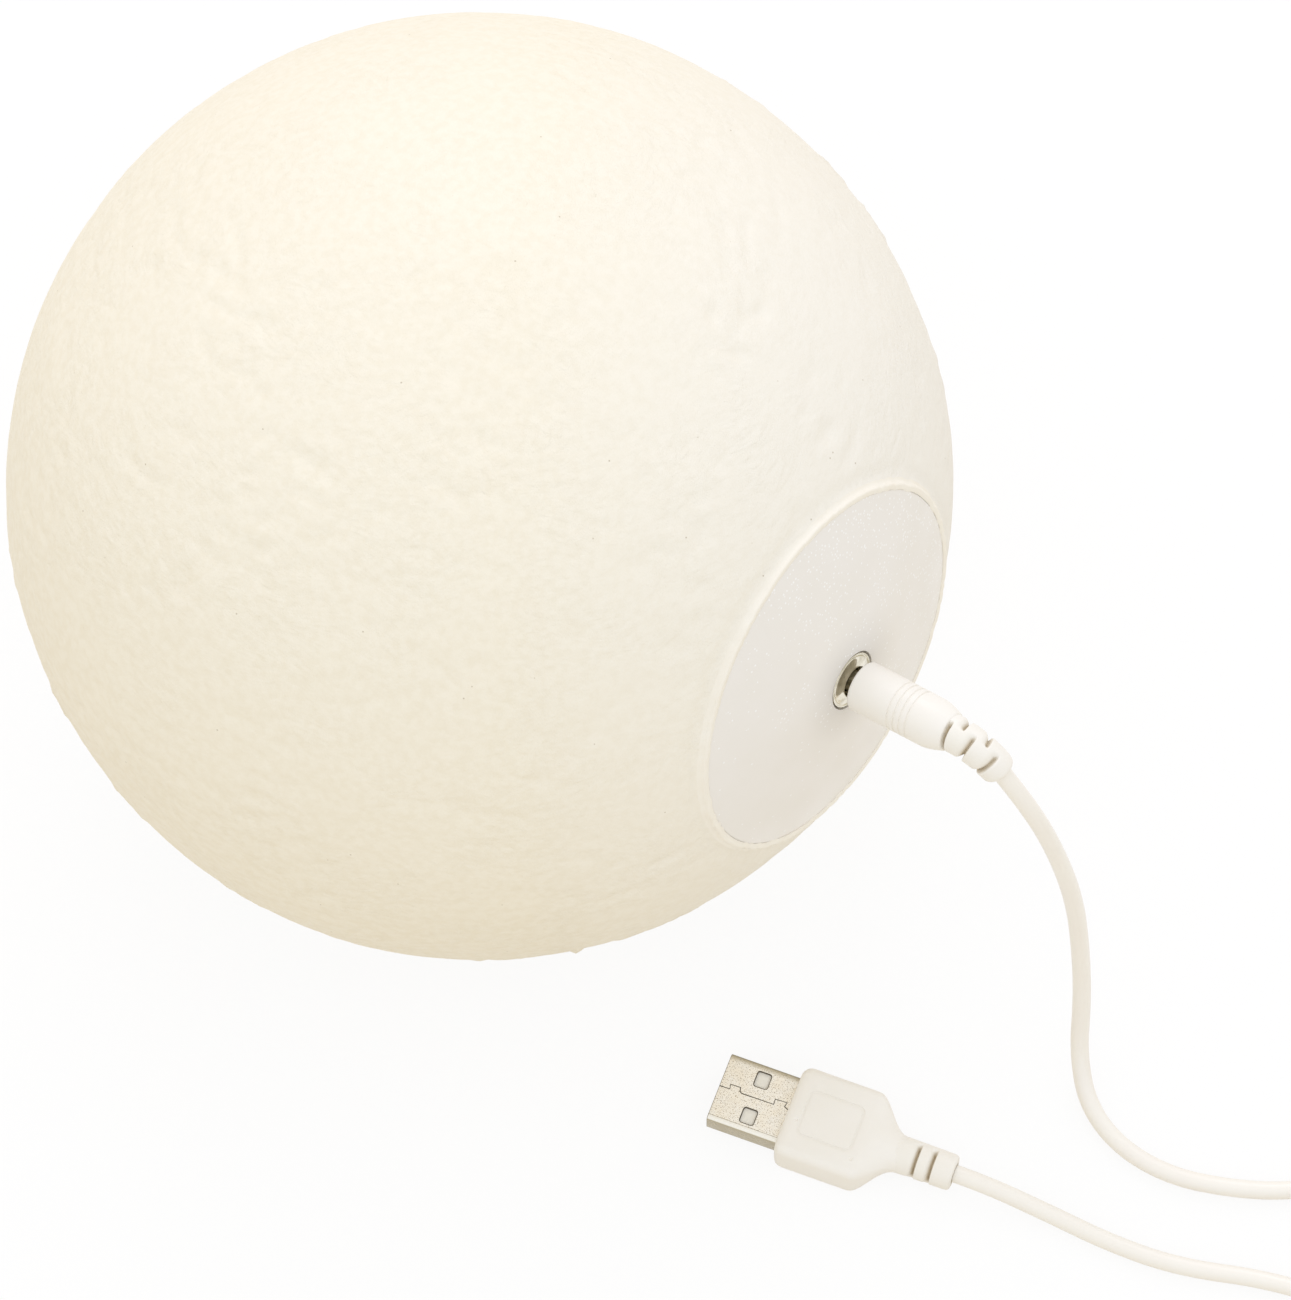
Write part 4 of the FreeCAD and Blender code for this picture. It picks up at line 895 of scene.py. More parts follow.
@dataclass(frozen=True)
class LedFinish(Finish):
    """White LED package whose sunk lens floor is filled with yellow phosphor."""

    phosphor: str = "f2d35c"
    lens_sink: float = 0.12 * MM

    def detail(self, on: Surface) -> None:
        """Phosphor on the faces that look down into the ball.

        Args:
            on: the material that is being built.
        """
        back = LAMP_PLACE.inverted()
        low = min((back @ vert.co).z for vert in frame["nodes"]["led_chips"].data.vertices)
        height = on.add("SeparateXYZ", {"Vector": on.spot}).outputs["Z"]
        sunk = on.add("Math", {0: height, 1: low + self.lens_sink}, operation="GREATER_THAN")
        facing = on.add("VectorMath", {
            0: on.add("NewGeometry").outputs["Normal"],
            1: LAMP_PLACE.to_3x3() @ Vector((0, 0, -1))}, operation="DOT_PRODUCT")
        down = on.add("Math", {0: facing, 1: 0.9}, operation="GREATER_THAN")
        on.tint(on.add("Math", {0: sunk, 1: down}, operation="MULTIPLY"), self.phosphor)


# Cast PLA-like resin: matt cream, its relief soft, with hardly any colour clouds
MOON_PLASTIC = MoonFinish(
    "cast_translucent_cream_plastic", "f9f3e3", "f6efdd", 0.55,
    cloud_size=1.5 * MM, grain_size=0.45 * MM, grain_depth=0.03 * MM)
# The ball's lip: the same resin, cast smooth, with a painted highlight that makes it whiter
LIP_HIGHLIGHT_PLASTIC = Finish("cream_plastic_lip_painted_highlight", "faf6ec", "f9f4e9", 0.4, cloud_size=4.0 * MM,
                     grain_size=0.4 * MM)
# Injection-moulded pearl ABS: satin, cooler and greyer than the ball, with glitter in it
COVER_PLASTIC = CoverFinish(
    "moulded_pearl_grey_abs", "f3f0ec", "f2efea", 0.36, cloud_size=9.0 * MM,
    grain_size=0.35 * MM, grain_depth=0.006 * MM, ior=1.53, drawn_at=LAMP_PLACE)
# Bright nickel plate on turned brass: sharp, slightly warm reflections
NICKEL = Finish("nickel_plated_turned_brass", "eae4d4", "cfc8b4", 0.15, metallic=1.0,
                cloud_size=1.5 * MM, grain_size=0.25 * MM, grain_depth=0.004 * MM)
# Inside of the ring's mouth: painted shade, dull and brown, where the deep hole is dark
SHADED_MOUTH = Finish("mouth_painted_shade", "c9bf9f", "6b6148", 0.4,
                    cloud_size=0.5 * MM)
# The plug's sleeve: nickel gone olive brown between cleanings
SLEEVE_NICKEL = Finish("tarnished_nickel_plate", "d2c8aa", "857b5e", 0.25, metallic=0.6,
                       cloud_size=0.7 * MM, grain_size=0.2 * MM)
# Nickel plate on rolled steel sheet: bright, with a fine brown speckle from the rolls
STAMPED_NICKEL = ShellFinish("nickel_plated_rolled_steel", "fffbf2", "fff8ea", 0.3,
                             metallic=0.15, gloss_drift=0.08, cloud_size=2.0 * MM,
                             grain_size=0.3 * MM, grain_depth=0.012 * MM,
                             drawn_at=USB_PLACE)
# Painted shade in the gap of the shell's folded seam and round its windows, which light hardly
# reaches
SEAM_GAP = Finish("seam_and_window_painted_shade", "5b5140", "4a4234", 0.7)
# Soft PVC moulded over the plugs: satin white, slightly warm
PVC_PATTERN = {"gloss_drift": 0.04, "cloud_size": 6.0 * MM, "grain_size": 0.3 * MM,
               "grain_depth": 0.008 * MM, "ior": 1.53}
MOULDED_PVC = Finish("overmoulded_white_pvc", "f9f6f0", "f8f5ee", 0.4, **PVC_PATTERN)
# The same PVC on the strain reliefs, with painted shade in their narrow slots
SLOTTED_PVC = SlottedFinish("slotted_white_pvc", "f8f5ef", "f7f4ec", 0.42, **PVC_PATTERN)
# Extruded PVC jacket: the same white, glossier along the cord
PVC_JACKET = Finish("extruded_white_pvc_jacket", "faf7f0", "f9f5ee", 0.3, gloss_drift=0.03,
                    cloud_size=12.0 * MM, grain_size=0.5 * MM, grain_depth=0.006 * MM, ior=1.53)
# Silicone band: matt, with dust in its surface
SILICONE = Finish("moulded_grey_silicone", "cfcbc2", "c6c1b6", 0.62, cloud_size=3.0 * MM,
                  grain_size=0.3 * MM, ior=1.41)
GREEN_BOARD = BoardFinish("green_solder_mask", "1f6b3a", "1c6235", 0.3, ior=1.5,
                          drawn_at=LAMP_PLACE)
WHITE_BOARD = BoardFinish("white_solder_mask", "f1f1ec", "ecece6", 0.28, ior=1.5,
                          track="dfe0da", track_spacing=4.5 * MM, drawn_at=LAMP_PLACE)
LED_PACKAGE = LedFinish("moulded_ppa_led_package", "f2f0e8", "ebe8dd", 0.4,
                        drawn_at=LAMP_PLACE)
CAPACITOR_CAN = Finish("drawn_aluminium_can", "c9ccd0", "bfc2c6", 0.3, metallic=1.0,
                       grain_size=0.2 * MM)
FERRITE = Finish("pressed_ferrite", "3c3d40", "333437", 0.6, grain_size=0.2 * MM,
                 grain_depth=0.03 * MM)
CELL_FOIL = Finish("heat_sealed_aluminium_laminate", "c5c8cb", "b4b8bc", 0.34, metallic=1.0,
                   cloud_size=4.0 * MM, grain_size=1.6 * MM, grain_depth=0.08 * MM)
FOAM = Finish("closed_cell_eva_foam", "e9e6df", "dedad0", 0.9, grain_size=0.35 * MM,
              grain_depth=0.12 * MM)
WIRE_PVC = TwoTone("stranded_wire_pvc_red_black", "b3231d", "a01e19", 0.42,
                   drawn_at=LAMP_PLACE)
TOUCH_WIRE = Finish("stranded_wire_pvc_white", "eceae4", "e2dfd6", 0.42)
GOLD = Finish("gold_flashed_contact", "e6c277", "dcb566", 0.2, metallic=1.0)
STEEL = Finish("zinc_plated_steel", "c4c6c8", "b5b8ba", 0.32, metallic=1.0,
               grain_size=0.2 * MM)
BRASS = Finish("turned_brass", "d9b765", "cda855", 0.26, metallic=1.0, grain_size=0.15 * MM)
BLACK_PLASTIC = Finish("moulded_black_pbt", "26262a", "1f1f22", 0.45, grain_size=0.3 * MM,
                       grain_depth=0.02 * MM)
WHITE_NYLON = Finish("moulded_white_nylon", "eceae3", "e2dfd5", 0.4, grain_size=0.3 * MM)
TONGUE_PLASTIC = Finish("moulded_pale_grey_nylon", "f4f1e8", "efebe0", 0.4,
                        grain_size=0.25 * MM)


# ---- Sub-assemblies -----------------------------------------------------------------------------


class SubAssembly:
    """What every sub-assembly shares: it hands its pieces to the frame."""

    body = "lamp"

    def hand_over(self, piece: Object, finish: Finish | None, slot: str,
                  *nodes: str) -> Object:
        """Dress a finished piece, let it ride on its body and stand for its CAD nodes.

        Args:
            piece: the finished piece, in its place.
            finish: its finish, or None where it is dressed already.
            slot: the record's material slot it belongs to; not used.
            nodes: the CAD nodes that it stands for.

        Returns:
            The piece.
        """
        if finish:
            finish.dress(piece)
        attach(piece, self.body)
        if nodes:
            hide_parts(*nodes)
        faces = len(piece.data.polygons) if piece.type == "MESH" else 0
        log.info("%s: %d faces, rides on %s", piece.name, faces, self.body)
        return piece


@dataclass
class MoonShell(SubAssembly):
    """The hollow ball with its relief, the raised lip round its opening, collar and shelf."""

    wall: float = 2.2 * MM
    start_detail: int = 4               # of the sphere before its faces are divided
    cuts: int = 10
    cut_radius: float = 31.9 * MM       # where the relief ends and the lip's foot begins
    lip_round: float = 0.4 * MM
    lip_inner_round: float = 0.12 * MM
    lip_height: float = 0.8 * MM
    groove_depth: float = 0.5 * MM
    groove_height: float = 1.6 * MM
    shelf_radius: float = 27.6 * MM
    shelf_thickness: float = 1.8 * MM
    collar_radius: float = 32.6 * MM
    lining_steps: int = 36
    fade: float = 3.2 * MM              # the relief rises over this much beyond the lip
    swell: float = 0.30 * MM
    wrinkle: float = 0.2 * MM
    streak_size: float = 2.8 * MM
    streak_step: float = 1.05 * MM
    stray_size: float = 17 * MM
    stray: float = 0.9                  # how far the streaks' direction strays
    fine_size: float = 1.9 * MM
    # Layers of the swells and of the rougher patches: size, share and place in the noise
    swells: Layers = ((27 * MM, 1.0, (0, 0, 0)), (11 * MM, 0.22, (0, 0, 0)))
    patches: Layers = ((22 * MM, 1.0, (9, 4, 2)), (9 * MM, 0.7, (2, 6, 1)))
    snap: float = 0.35 * MM             # points this near the cut are brought onto it
    moat: float = 0.32 * MM             # depth of the soft hollow round the lip
    streak_pole: tuple[float, float, float] = (-0.967, 0.233, 0.089)
    crater_count: int = 150
    seed: int = 7
    # Dents that show on the outline: bearing in the picture, radius and depth
    dents: tuple[tuple[float, float, float], ...] = (
        (41.7, 2.6 * MM, 0.9 * MM), (33.9, 3.0 * MM, 1.0 * MM), (206.9, 2.4 * MM, 1.0 * MM),
        (222.1, 3.0 * MM, 0.8 * MM), (272.4, 3.2 * MM, 0.6 * MM), (281.8, 1.5 * MM, -0.7 * MM),
        (289.8, 3.4 * MM, 0.7 * MM), (295.5, 2.4 * MM, 0.6 * MM), (56.0, 3.4 * MM, 0.5 * MM),
        (14.0, 2.6 * MM, 0.5 * MM), (190.0, 2.8 * MM, 0.5 * MM), (240.0, 3.0 * MM, 0.6 * MM))

    def build(self) -> None:
        """Make the ball, sculpt it, open it, line it, and lay it down."""
        ball = self.ball()
        self.sculpt(ball)
        self.open(ball)
        self.line(ball)
        face_out(ball)
        MOON_PLASTIC.dress(ball)
        # Painted highlight: the lip's faces get the whiter copy of the resin
        dress_part(ball, LIP_HIGHLIGHT_PLASTIC, lambda face: (
            face.calc_center_median().z > self.cut_height()
            and face.calc_center_median().xy.length < self.cut_radius))
        place(ball, LAMP_PLACE)
        self.rest(ball)
        smooth(ball, 60)
        self.hand_over(ball, None, "moon_plastic", "moon_shell")

    def ball(self) -> Object:
        """Even ball of about a millimetre's mesh.

        Returns:
            The ball.
        """
        deselect_all()
        bpy.ops.mesh.primitive_ico_sphere_add(subdivisions=self.start_detail, radius=BALL_RADIUS)
        piece = settle("moon_ball")
        start_edit(piece)
        select_all()
        bpy.ops.mesh.subdivide(number_cuts=self.cuts)
        end_edit()
        return piece

    def relief(self, point: Vector) -> float:
        """Height of the worn relief at a point of the ball.

        Args:
            point: place on the ball, in the lamp's own frame.

        Returns:
            The height in metres, below 0 for a hollow.
        """
        stray = noise.noise_vector(point / self.stray_size + Vector((1, 7, 3)))
        along = (Vector(self.streak_pole).cross(point / BALL_RADIUS)
                 + self.stray * stray).normalized()
        broad, patch = (
            sum(share * noise.noise(point / size + Vector(shift)) for size, share, shift in layers)
            for layers in (self.swells, self.patches))
        rough = min(max(0.85 + 1.6 * patch, 0.25), 1.9)
        weights = (0.5, 0.85, 1.0, 0.85, 0.5)
        streak = sum(
            weight * noise.noise((point + along * (step - 2) * self.streak_step)
                                 / self.streak_size + Vector((3, 8, 5)))
            for step, weight in enumerate(weights)) / sum(weights)
        fine = noise.noise(point / self.fine_size)
        fold = 1.5 * streak - 1.1 * abs(streak) + 0.22 * fine
        return self.swell * broad + self.wrinkle * rough * fold

    def sculpt(self, piece: Object) -> None:
        """Push the ball's points out and in: swells, streaks, small craters and outline dents.

        This is sculpting, which no operator does without a window, so the points are moved here.

        Args:
            piece: the ball.
        """
        points = [vert.co.normalized() * BALL_RADIUS for vert in piece.data.vertices]
        heights = [self.relief(point) for point in points]
        tree = kdtree.KDTree(len(points))
        for index, point in enumerate(points):
            tree.insert(point, index)
        tree.balance()
        dice = random.Random(self.seed)
        hollows = []
        for _ in range(self.crater_count):
            spot = Vector([dice.gauss(0, 1) for _ in range(3)]).normalized() * BALL_RADIUS
            size = dice.uniform(1.1, 3.4) * MM
            hollows.append((spot, size, size * dice.uniform(0.03, 0.08)))
        hollows += [(outline_spot(math.radians(bearing)), size, depth)
                    for bearing, size, depth in self.dents]
        for spot, size, depth in hollows:
            for _, index, away in tree.find_range(spot, size * 1.5):
                share = away / size
                bowl = (1 - smooth_step(share)) - 0.28 * math.exp(-((share - 1.05) / 0.2) ** 2)
                heights[index] -= 1.15 * depth * bowl
        lip_angle = math.asin(self.cut_radius / BALL_RADIUS)
        for vert, point, height in zip(piece.data.vertices, points, heights):
            away = (point.angle(Vector((0, 0, 1))) - lip_angle) * BALL_RADIUS
            if abs(away) < self.snap:
                point = Vector((*(point.xy.normalized() * self.cut_radius), self.cut_height()))
                away = 0.0
            hollow = self.moat * math.exp(-((away / MM - 1.0) / 0.9) ** 2)
            vert.co = point.normalized() * (BALL_RADIUS - hollow * bool(away)
                                            + height * smooth_step(away / self.fade))

    def open(self, piece: Object) -> None:
        """Cut the ball open where the lip's foot begins.

        Args:
            piece: the ball.
        """
        start_edit(piece)
        select_all()
        bpy.ops.mesh.bisect(plane_co=(0, 0, self.cut_height()), plane_no=(0, 0, 1),
                            clear_outer=True, use_fill=False)
        end_edit()

    def cut_height(self) -> float:
        """Height at which the ball is cut open."""
        return math.sqrt(BALL_RADIUS ** 2 - self.cut_radius ** 2)

    def line(self, piece: Object) -> None:
        """Draw the edge on: over the lip, down the collar, round the shelf and the inner wall.

        Args:
            piece: the open ball.
        """
        inner = BALL_RADIUS - self.wall
        groove_top = SNAP_GROOVE_MIDDLE + self.groove_height / 2
        groove_foot = SNAP_GROOVE_MIDDLE - self.groove_height / 2
        groove_radius = OPENING_RADIUS + self.groove_depth
        shelf_foot = SHELF_TOP - self.shelf_thickness
        lip_top = LIP_FOOT + self.lip_height

        corners = [Corner(self.cut_radius, self.cut_height())]
        foot = (Vector((self.cut_radius, self.cut_height())),
                Vector((LIP_RADIUS + 0.05 * MM, LIP_FOOT - 0.02 * MM)),
                Vector((LIP_RADIUS, lip_top - self.lip_round)))     # a curve's three handles
        for step in range(1, 7):
            share = step / 6
            spot = (foot[0] * (1 - share) ** 2 + foot[1] * 2 * share * (1 - share)
                    + foot[2] * share ** 2)
            corners.append(Corner(spot.x, spot.y))
        for middle, rounding, first in (
                (LIP_RADIUS - self.lip_round, self.lip_round, 0),
                (OPENING_RADIUS + self.lip_inner_round, self.lip_inner_round, 5)):
            for step in range(1, 6):
                angle = math.pi / 10 * (first + step)
                corners.append(Corner(middle + rounding * math.cos(angle),
                                      lip_top - rounding * (1 - math.sin(angle))))
        corners += [
            Corner(OPENING_RADIUS, groove_top), Corner(groove_radius, groove_top),
            Corner(groove_radius, groove_foot), Corner(OPENING_RADIUS, groove_foot),
            Corner(OPENING_RADIUS, SHELF_TOP), Corner(self.shelf_radius, SHELF_TOP),
            Corner(self.shelf_radius, shelf_foot), Corner(self.collar_radius, shelf_foot)]
        first = math.asin(self.collar_radius / inner)
        for step in range(self.lining_steps):
            angle = first + (math.pi - first) * step / self.lining_steps
            corners.append(Corner(inner * math.sin(angle), inner * math.cos(angle)))
        corners.append(Corner(corners[-1].radius, -inner))

        start_edit(piece)
        select(piece, Pick.EDGES, lambda edge: edge.is_boundary)
        draw_rings(corners)
        bpy.ops.mesh.merge(type="CENTER")
        end_edit()

    def rest(self, piece: Object) -> None:
        """Wear the ball flat where it rests on the table.

        Args:
            piece: the ball, in its place.
        """
        start_edit(piece)
        select(piece, Pick.VERTS, lambda vert: vert.co.z < 0)
        bpy.ops.transform.resize(value=(1, 1, 0), center_override=(0, 0, 0))
        end_edit()


@dataclass
class BaseCover(SubAssembly):
    """Domed cover that snaps into the collar, with its sunk seat for the ring and four pillars."""

    hole_radius: float = 4.05 * MM
    seat_radius: float = 5.0 * MM
    seat_depth: float = 1.2 * MM
    seat_round: float = 0.12 * MM
    pad_radius: float = 9.0 * MM
    pad_thickness: float = 3.7 * MM
    wall: float = 2.2 * MM
    skirt_wall: float = 1.6 * MM
    edge_round: float = 0.1 * MM
    edge_radius: float = 30.17 * MM     # its rim all but touches the lip
    edge_height: float = 1.6 * MM
    edge_lift: float = 1.0 * MM         # brings it all but level with the lip
    bead_radius: float = 30.5 * MM
    bead_half: float = 0.6 * MM
    dome_steps: int = 26
    lining_steps: int = 12
    pillar_radius: float = 2.8 * MM
    pillar_hole: float = 1.25 * MM
    pillar_circle: float = 20.5 * MM
    pillar_angle: float = math.radians(22.0)
    pillar_sink: float = 1.0 * MM

    def build(self) -> None:
        """Turn the cover, stand its pillars inside it, and lay it down."""
        cover = turned("base_cover_dome", self.profile(), segments=160, ring=True)
        cover = join(cover, self.pillars())
        cover.name = "domed_base_cover"
        place(cover, LAMP_PLACE)
        smooth(cover, 35)
        self.hand_over(cover, COVER_PLASTIC, "cover_plastic", "base_cover")

    def dome(self, radius: float, inset: float = 0.0) -> Corner:
        """Point of the dome's outer face at a radius, or of its inner face.

        Args:
            radius: distance from the axis.
            inset: how far inside the outer face.

        Returns:
            The point.
        """
        rise = DOME_TOP - COVER_EDGE - self.edge_lift
        sphere = (self.edge_radius ** 2 + rise ** 2) / (2 * rise)
        return Corner(radius, DOME_TOP - sphere + math.sqrt((sphere - inset) ** 2 - radius ** 2))

    def profile(self) -> list[Corner]:
        """Outline of the cover, from its hole out over the dome and back inside.

        Returns:
            Its corners in order.
        """
        skirt_inner = COVER_RADIUS - self.skirt_wall
        foot = SHELF_TOP + 0.05 * MM
        slope = self.bead_radius - COVER_RADIUS
        pad_face = DOME_TOP - self.pad_thickness
        seat = RING_FACE - self.seat_depth
        edge = COVER_EDGE + self.edge_lift
        rim_foot = edge - self.edge_height
        bead_top, bead_foot = (SNAP_GROOVE_MIDDLE + self.bead_half,
                               SNAP_GROOVE_MIDDLE - self.bead_half)
        seat_edge = self.dome(self.seat_radius)
        corners = [Corner(self.hole_radius, pad_face), Corner(self.hole_radius, seat),
                   Corner(self.seat_radius, seat),
                   Corner(seat_edge.radius, seat_edge.height, self.seat_round)]
        run = self.edge_radius - self.seat_radius
        corners += [self.dome(self.seat_radius + run * (step / self.dome_steps))
                    for step in range(1, self.dome_steps)]
        corners += [
            Corner(self.edge_radius, edge, self.edge_round), Corner(self.edge_radius, rim_foot),
            Corner(COVER_RADIUS, rim_foot - 0.2 * MM), Corner(COVER_RADIUS, bead_top),
            Corner(self.bead_radius, bead_top - slope), Corner(self.bead_radius, bead_foot + slope),
            Corner(COVER_RADIUS, bead_foot), Corner(COVER_RADIUS, foot),
            Corner(skirt_inner, foot)]
        run = self.pad_radius - skirt_inner
        corners += [self.dome(skirt_inner + run * (step / self.lining_steps), self.wall)
                    for step in range(self.lining_steps + 1)]
        return corners + [Corner(self.pad_radius, pad_face)]

    def pillars(self) -> list[Object]:
        """Four hollow pillars that the boards are screwed to.

        Returns:
            The pillars.
        """
        top = self.dome(self.pillar_circle, self.wall).height + self.pillar_sink
        pillars = []
        for side, turn in ((-1, -1), (-1, 1), (1, -1), (1, 1)):
            pillar = turned("pillar", [
                Corner(self.pillar_hole, BOARD_TOP), Corner(self.pillar_radius, BOARD_TOP),
                Corner(self.pillar_radius, top), Corner(self.pillar_hole, top)],
                segments=32, ring=True)
            place(pillar, Matrix.Translation((
                side * self.pillar_circle * math.cos(self.pillar_angle),
                turn * self.pillar_circle * math.sin(self.pillar_angle), 0)))
            pillars.append(pillar)
        return pillars


@dataclass
class TouchRing(SubAssembly):
    """Plated ring and threaded barrel of the charging jack, which also switches the lamp."""

    thickness: float = 1.2 * MM
    barrel_radius: float = 4.0 * MM
    barrel_length: float = 7.0 * MM
    bore: float = 2.9 * MM
    mouth: float = 2.6 * MM
    ridge: float = 0.12 * MM
    ridge_pitch: float = 0.36 * MM
    ridge_count: int = 5
    # From the edge over the bead, the groove and the flange that rises from it into the mouth:
    # radius, height over the face and rounding, in mm
    face: Profile = (
        (4.72, 0, 0.16), (4.5, 0, 0.12), (4.42, -0.26, 0.04), (4.22, -0.26, 0.04),
        (4.12, -0.06, 0), (3.9, 0, 0), (3.6, 0.06, 0), (3.3, 0.16, 0), (3.05, 0.29, 0),
        (2.85, 0.43, 0), (2.74, 0.53, 0), (2.66, 0.56, 0), (2.6, 0.5, 0), (2.6, -0.9, 0),
        (2.9, -1.0, 0))

    def build(self) -> None:
        """Turn the ring with its bead, groove, flange and bore, and lay it down."""
        top = RING_FACE
        foot = top - self.thickness
        barrel_foot = foot - self.barrel_length
        corners = [Corner(self.barrel_radius, barrel_foot), Corner(self.barrel_radius, foot),
                   Corner(self.face[0][0] * MM, foot)]
        corners += [Corner(radius * MM, top + height * MM, rounding * MM)
                    for radius, height, rounding in self.face]
        for step in range(self.ridge_count):
            start = top - 1.3 * MM - step * self.ridge_pitch
            corners += [Corner(self.bore, start), Corner(self.bore + self.ridge, start - 0.1 * MM),
                        Corner(self.bore + self.ridge, start - 0.2 * MM)]
        corners.append(Corner(self.bore, barrel_foot))
        ring = turned("plated_touch_ring", corners, segments=96, ring=True, steps=3)
        NICKEL.dress(ring)
        # Painted shade on the faces inside the mouth
        dress_part(ring, SHADED_MOUTH, lambda face: (
            face.calc_center_median().xy.length < self.mouth + 0.05 * MM))
        place(ring, LAMP_PLACE)
        smooth(ring, 45)
        self.hand_over(ring, None, "nickel_plate", "touch_ring")


@dataclass
class StrainRelief:
    """Moulded strain relief, scooped from both sides in turn so that it can bend.

    Sizes are in metres. It is modelled along the Z axis from its root, which is sunk a little into
    the grip. Each scoop slopes in gently and comes out by a steep wall.
    """

    name: str
    length: float
    root_radius: float
    end_radius: float
    near_walls: tuple[float, ...]       # where the steep walls of the scoops on the -Y side stand
    far_walls: tuple[float, ...]        # where those on the +Y side stand
    near_reach: float = math.radians(100)
    far_reach: float = math.radians(92)
    scoop_length: float = 1.1 * MM
    scoop_radius: float = 1.8 * MM
    sink: float = 0.7 * MM
    sunk_radius: float = 2.9 * MM       # at its root, inside the grip
    segments: int = 64
    # Rows either side of each steep wall, and the end: away from the radius, back from the tip
    wall_rows: tuple[float, ...] = (0.16 * MM, 0.06 * MM, -0.06 * MM, -0.22 * MM)
    outer_end: tuple[tuple[float, float], ...] = ((0, 0.8), (-0.05, 0.4), (-0.3, 0.08), (-0.7, 0))
    inner_end: tuple[tuple[float, float], ...] = ((0.32, 0), (0.12, 0.15), (0.12, 0.8))

    def build(self) -> Object:
        """Turn the body, draw the scoops in, and soften it.

        Returns:
            The relief, still straight.
        """
        rows = {wall - back for wall in self.near_walls + self.far_walls
                for back in (self.scoop_length, self.scoop_length / 2, *self.wall_rows)}
        corners = [Corner(self.sunk_radius, -self.sink)]
        if min(rows) > 0:
            corners += [Corner(self.root_radius, 0.3 * MM - self.sink),
                        Corner(self.root_radius, 0.2 * MM)]
        corners += [Corner(self.radius_at(row), row) for row in sorted(rows)
                    if row < self.length - 1.0 * MM]
        for radius, end in ((self.end_radius, self.outer_end), (CORD_DIAMETER / 2, self.inner_end)):
            corners += [Corner(radius + away * MM, self.length - back * MM)
                        for away, back in end]
        piece = turned(self.name, corners, segments=self.segments)
        start_edit(piece)
        for side, walls, reach in ((-1, self.near_walls, self.near_reach),
                                   (1, self.far_walls, self.far_reach)):
            for wall in walls:
                self.scoop(piece, wall, side, reach)
        select_all()
        bpy.ops.mesh.normals_make_consistent(inside=False)
        end_edit()
        add_modifier(piece, "SUBSURF", levels=2, render_levels=2)
        smooth(piece, 60)
        return piece

    def radius_at(self, height: float) -> float:
        """Radius of the body at a height, which tapers a little towards the cord."""
        share = min(max(height / self.length, 0), 1)
        return self.root_radius + (self.end_radius - self.root_radius) * share

    def scoop(self, piece: Object, wall: float, side: int, reach: float) -> None:
        """Draw one scoop's rows in towards the cord.

        Args:
            piece: the relief, open in edit mode.
            wall: where its steep wall stands along the relief.
            side: -1 or 1, the side of the Y axis it is centred on.
            reach: angle that it spans either way from there.
        """
        painted_reflection_bands = ((0.0, reach - 0.26, 1.0), (reach - 0.26, reach - 0.15, 0.75),
                 (reach - 0.15, reach - 0.05, 0.35))
        for back, depth in ((self.scoop_length / 2, 0.4), (self.wall_rows[0], 1.0),
                            (self.wall_rows[1], 1.0)):
            height = wall - back
            for first, last, ease in painted_reflection_bands:
                found = select(piece, Pick.VERTS, lambda vert: (
                    abs(vert.co.z - height) < NEAR
                    and first <= abs(math.atan2(vert.co.x, side * vert.co.y)) < last))
                share = 1 - depth * ease * (1 - self.scoop_radius / self.radius_at(height))
                if found:
                    bpy.ops.transform.resize(value=(share, share, 1),
                                             center_override=(0, 0, height))


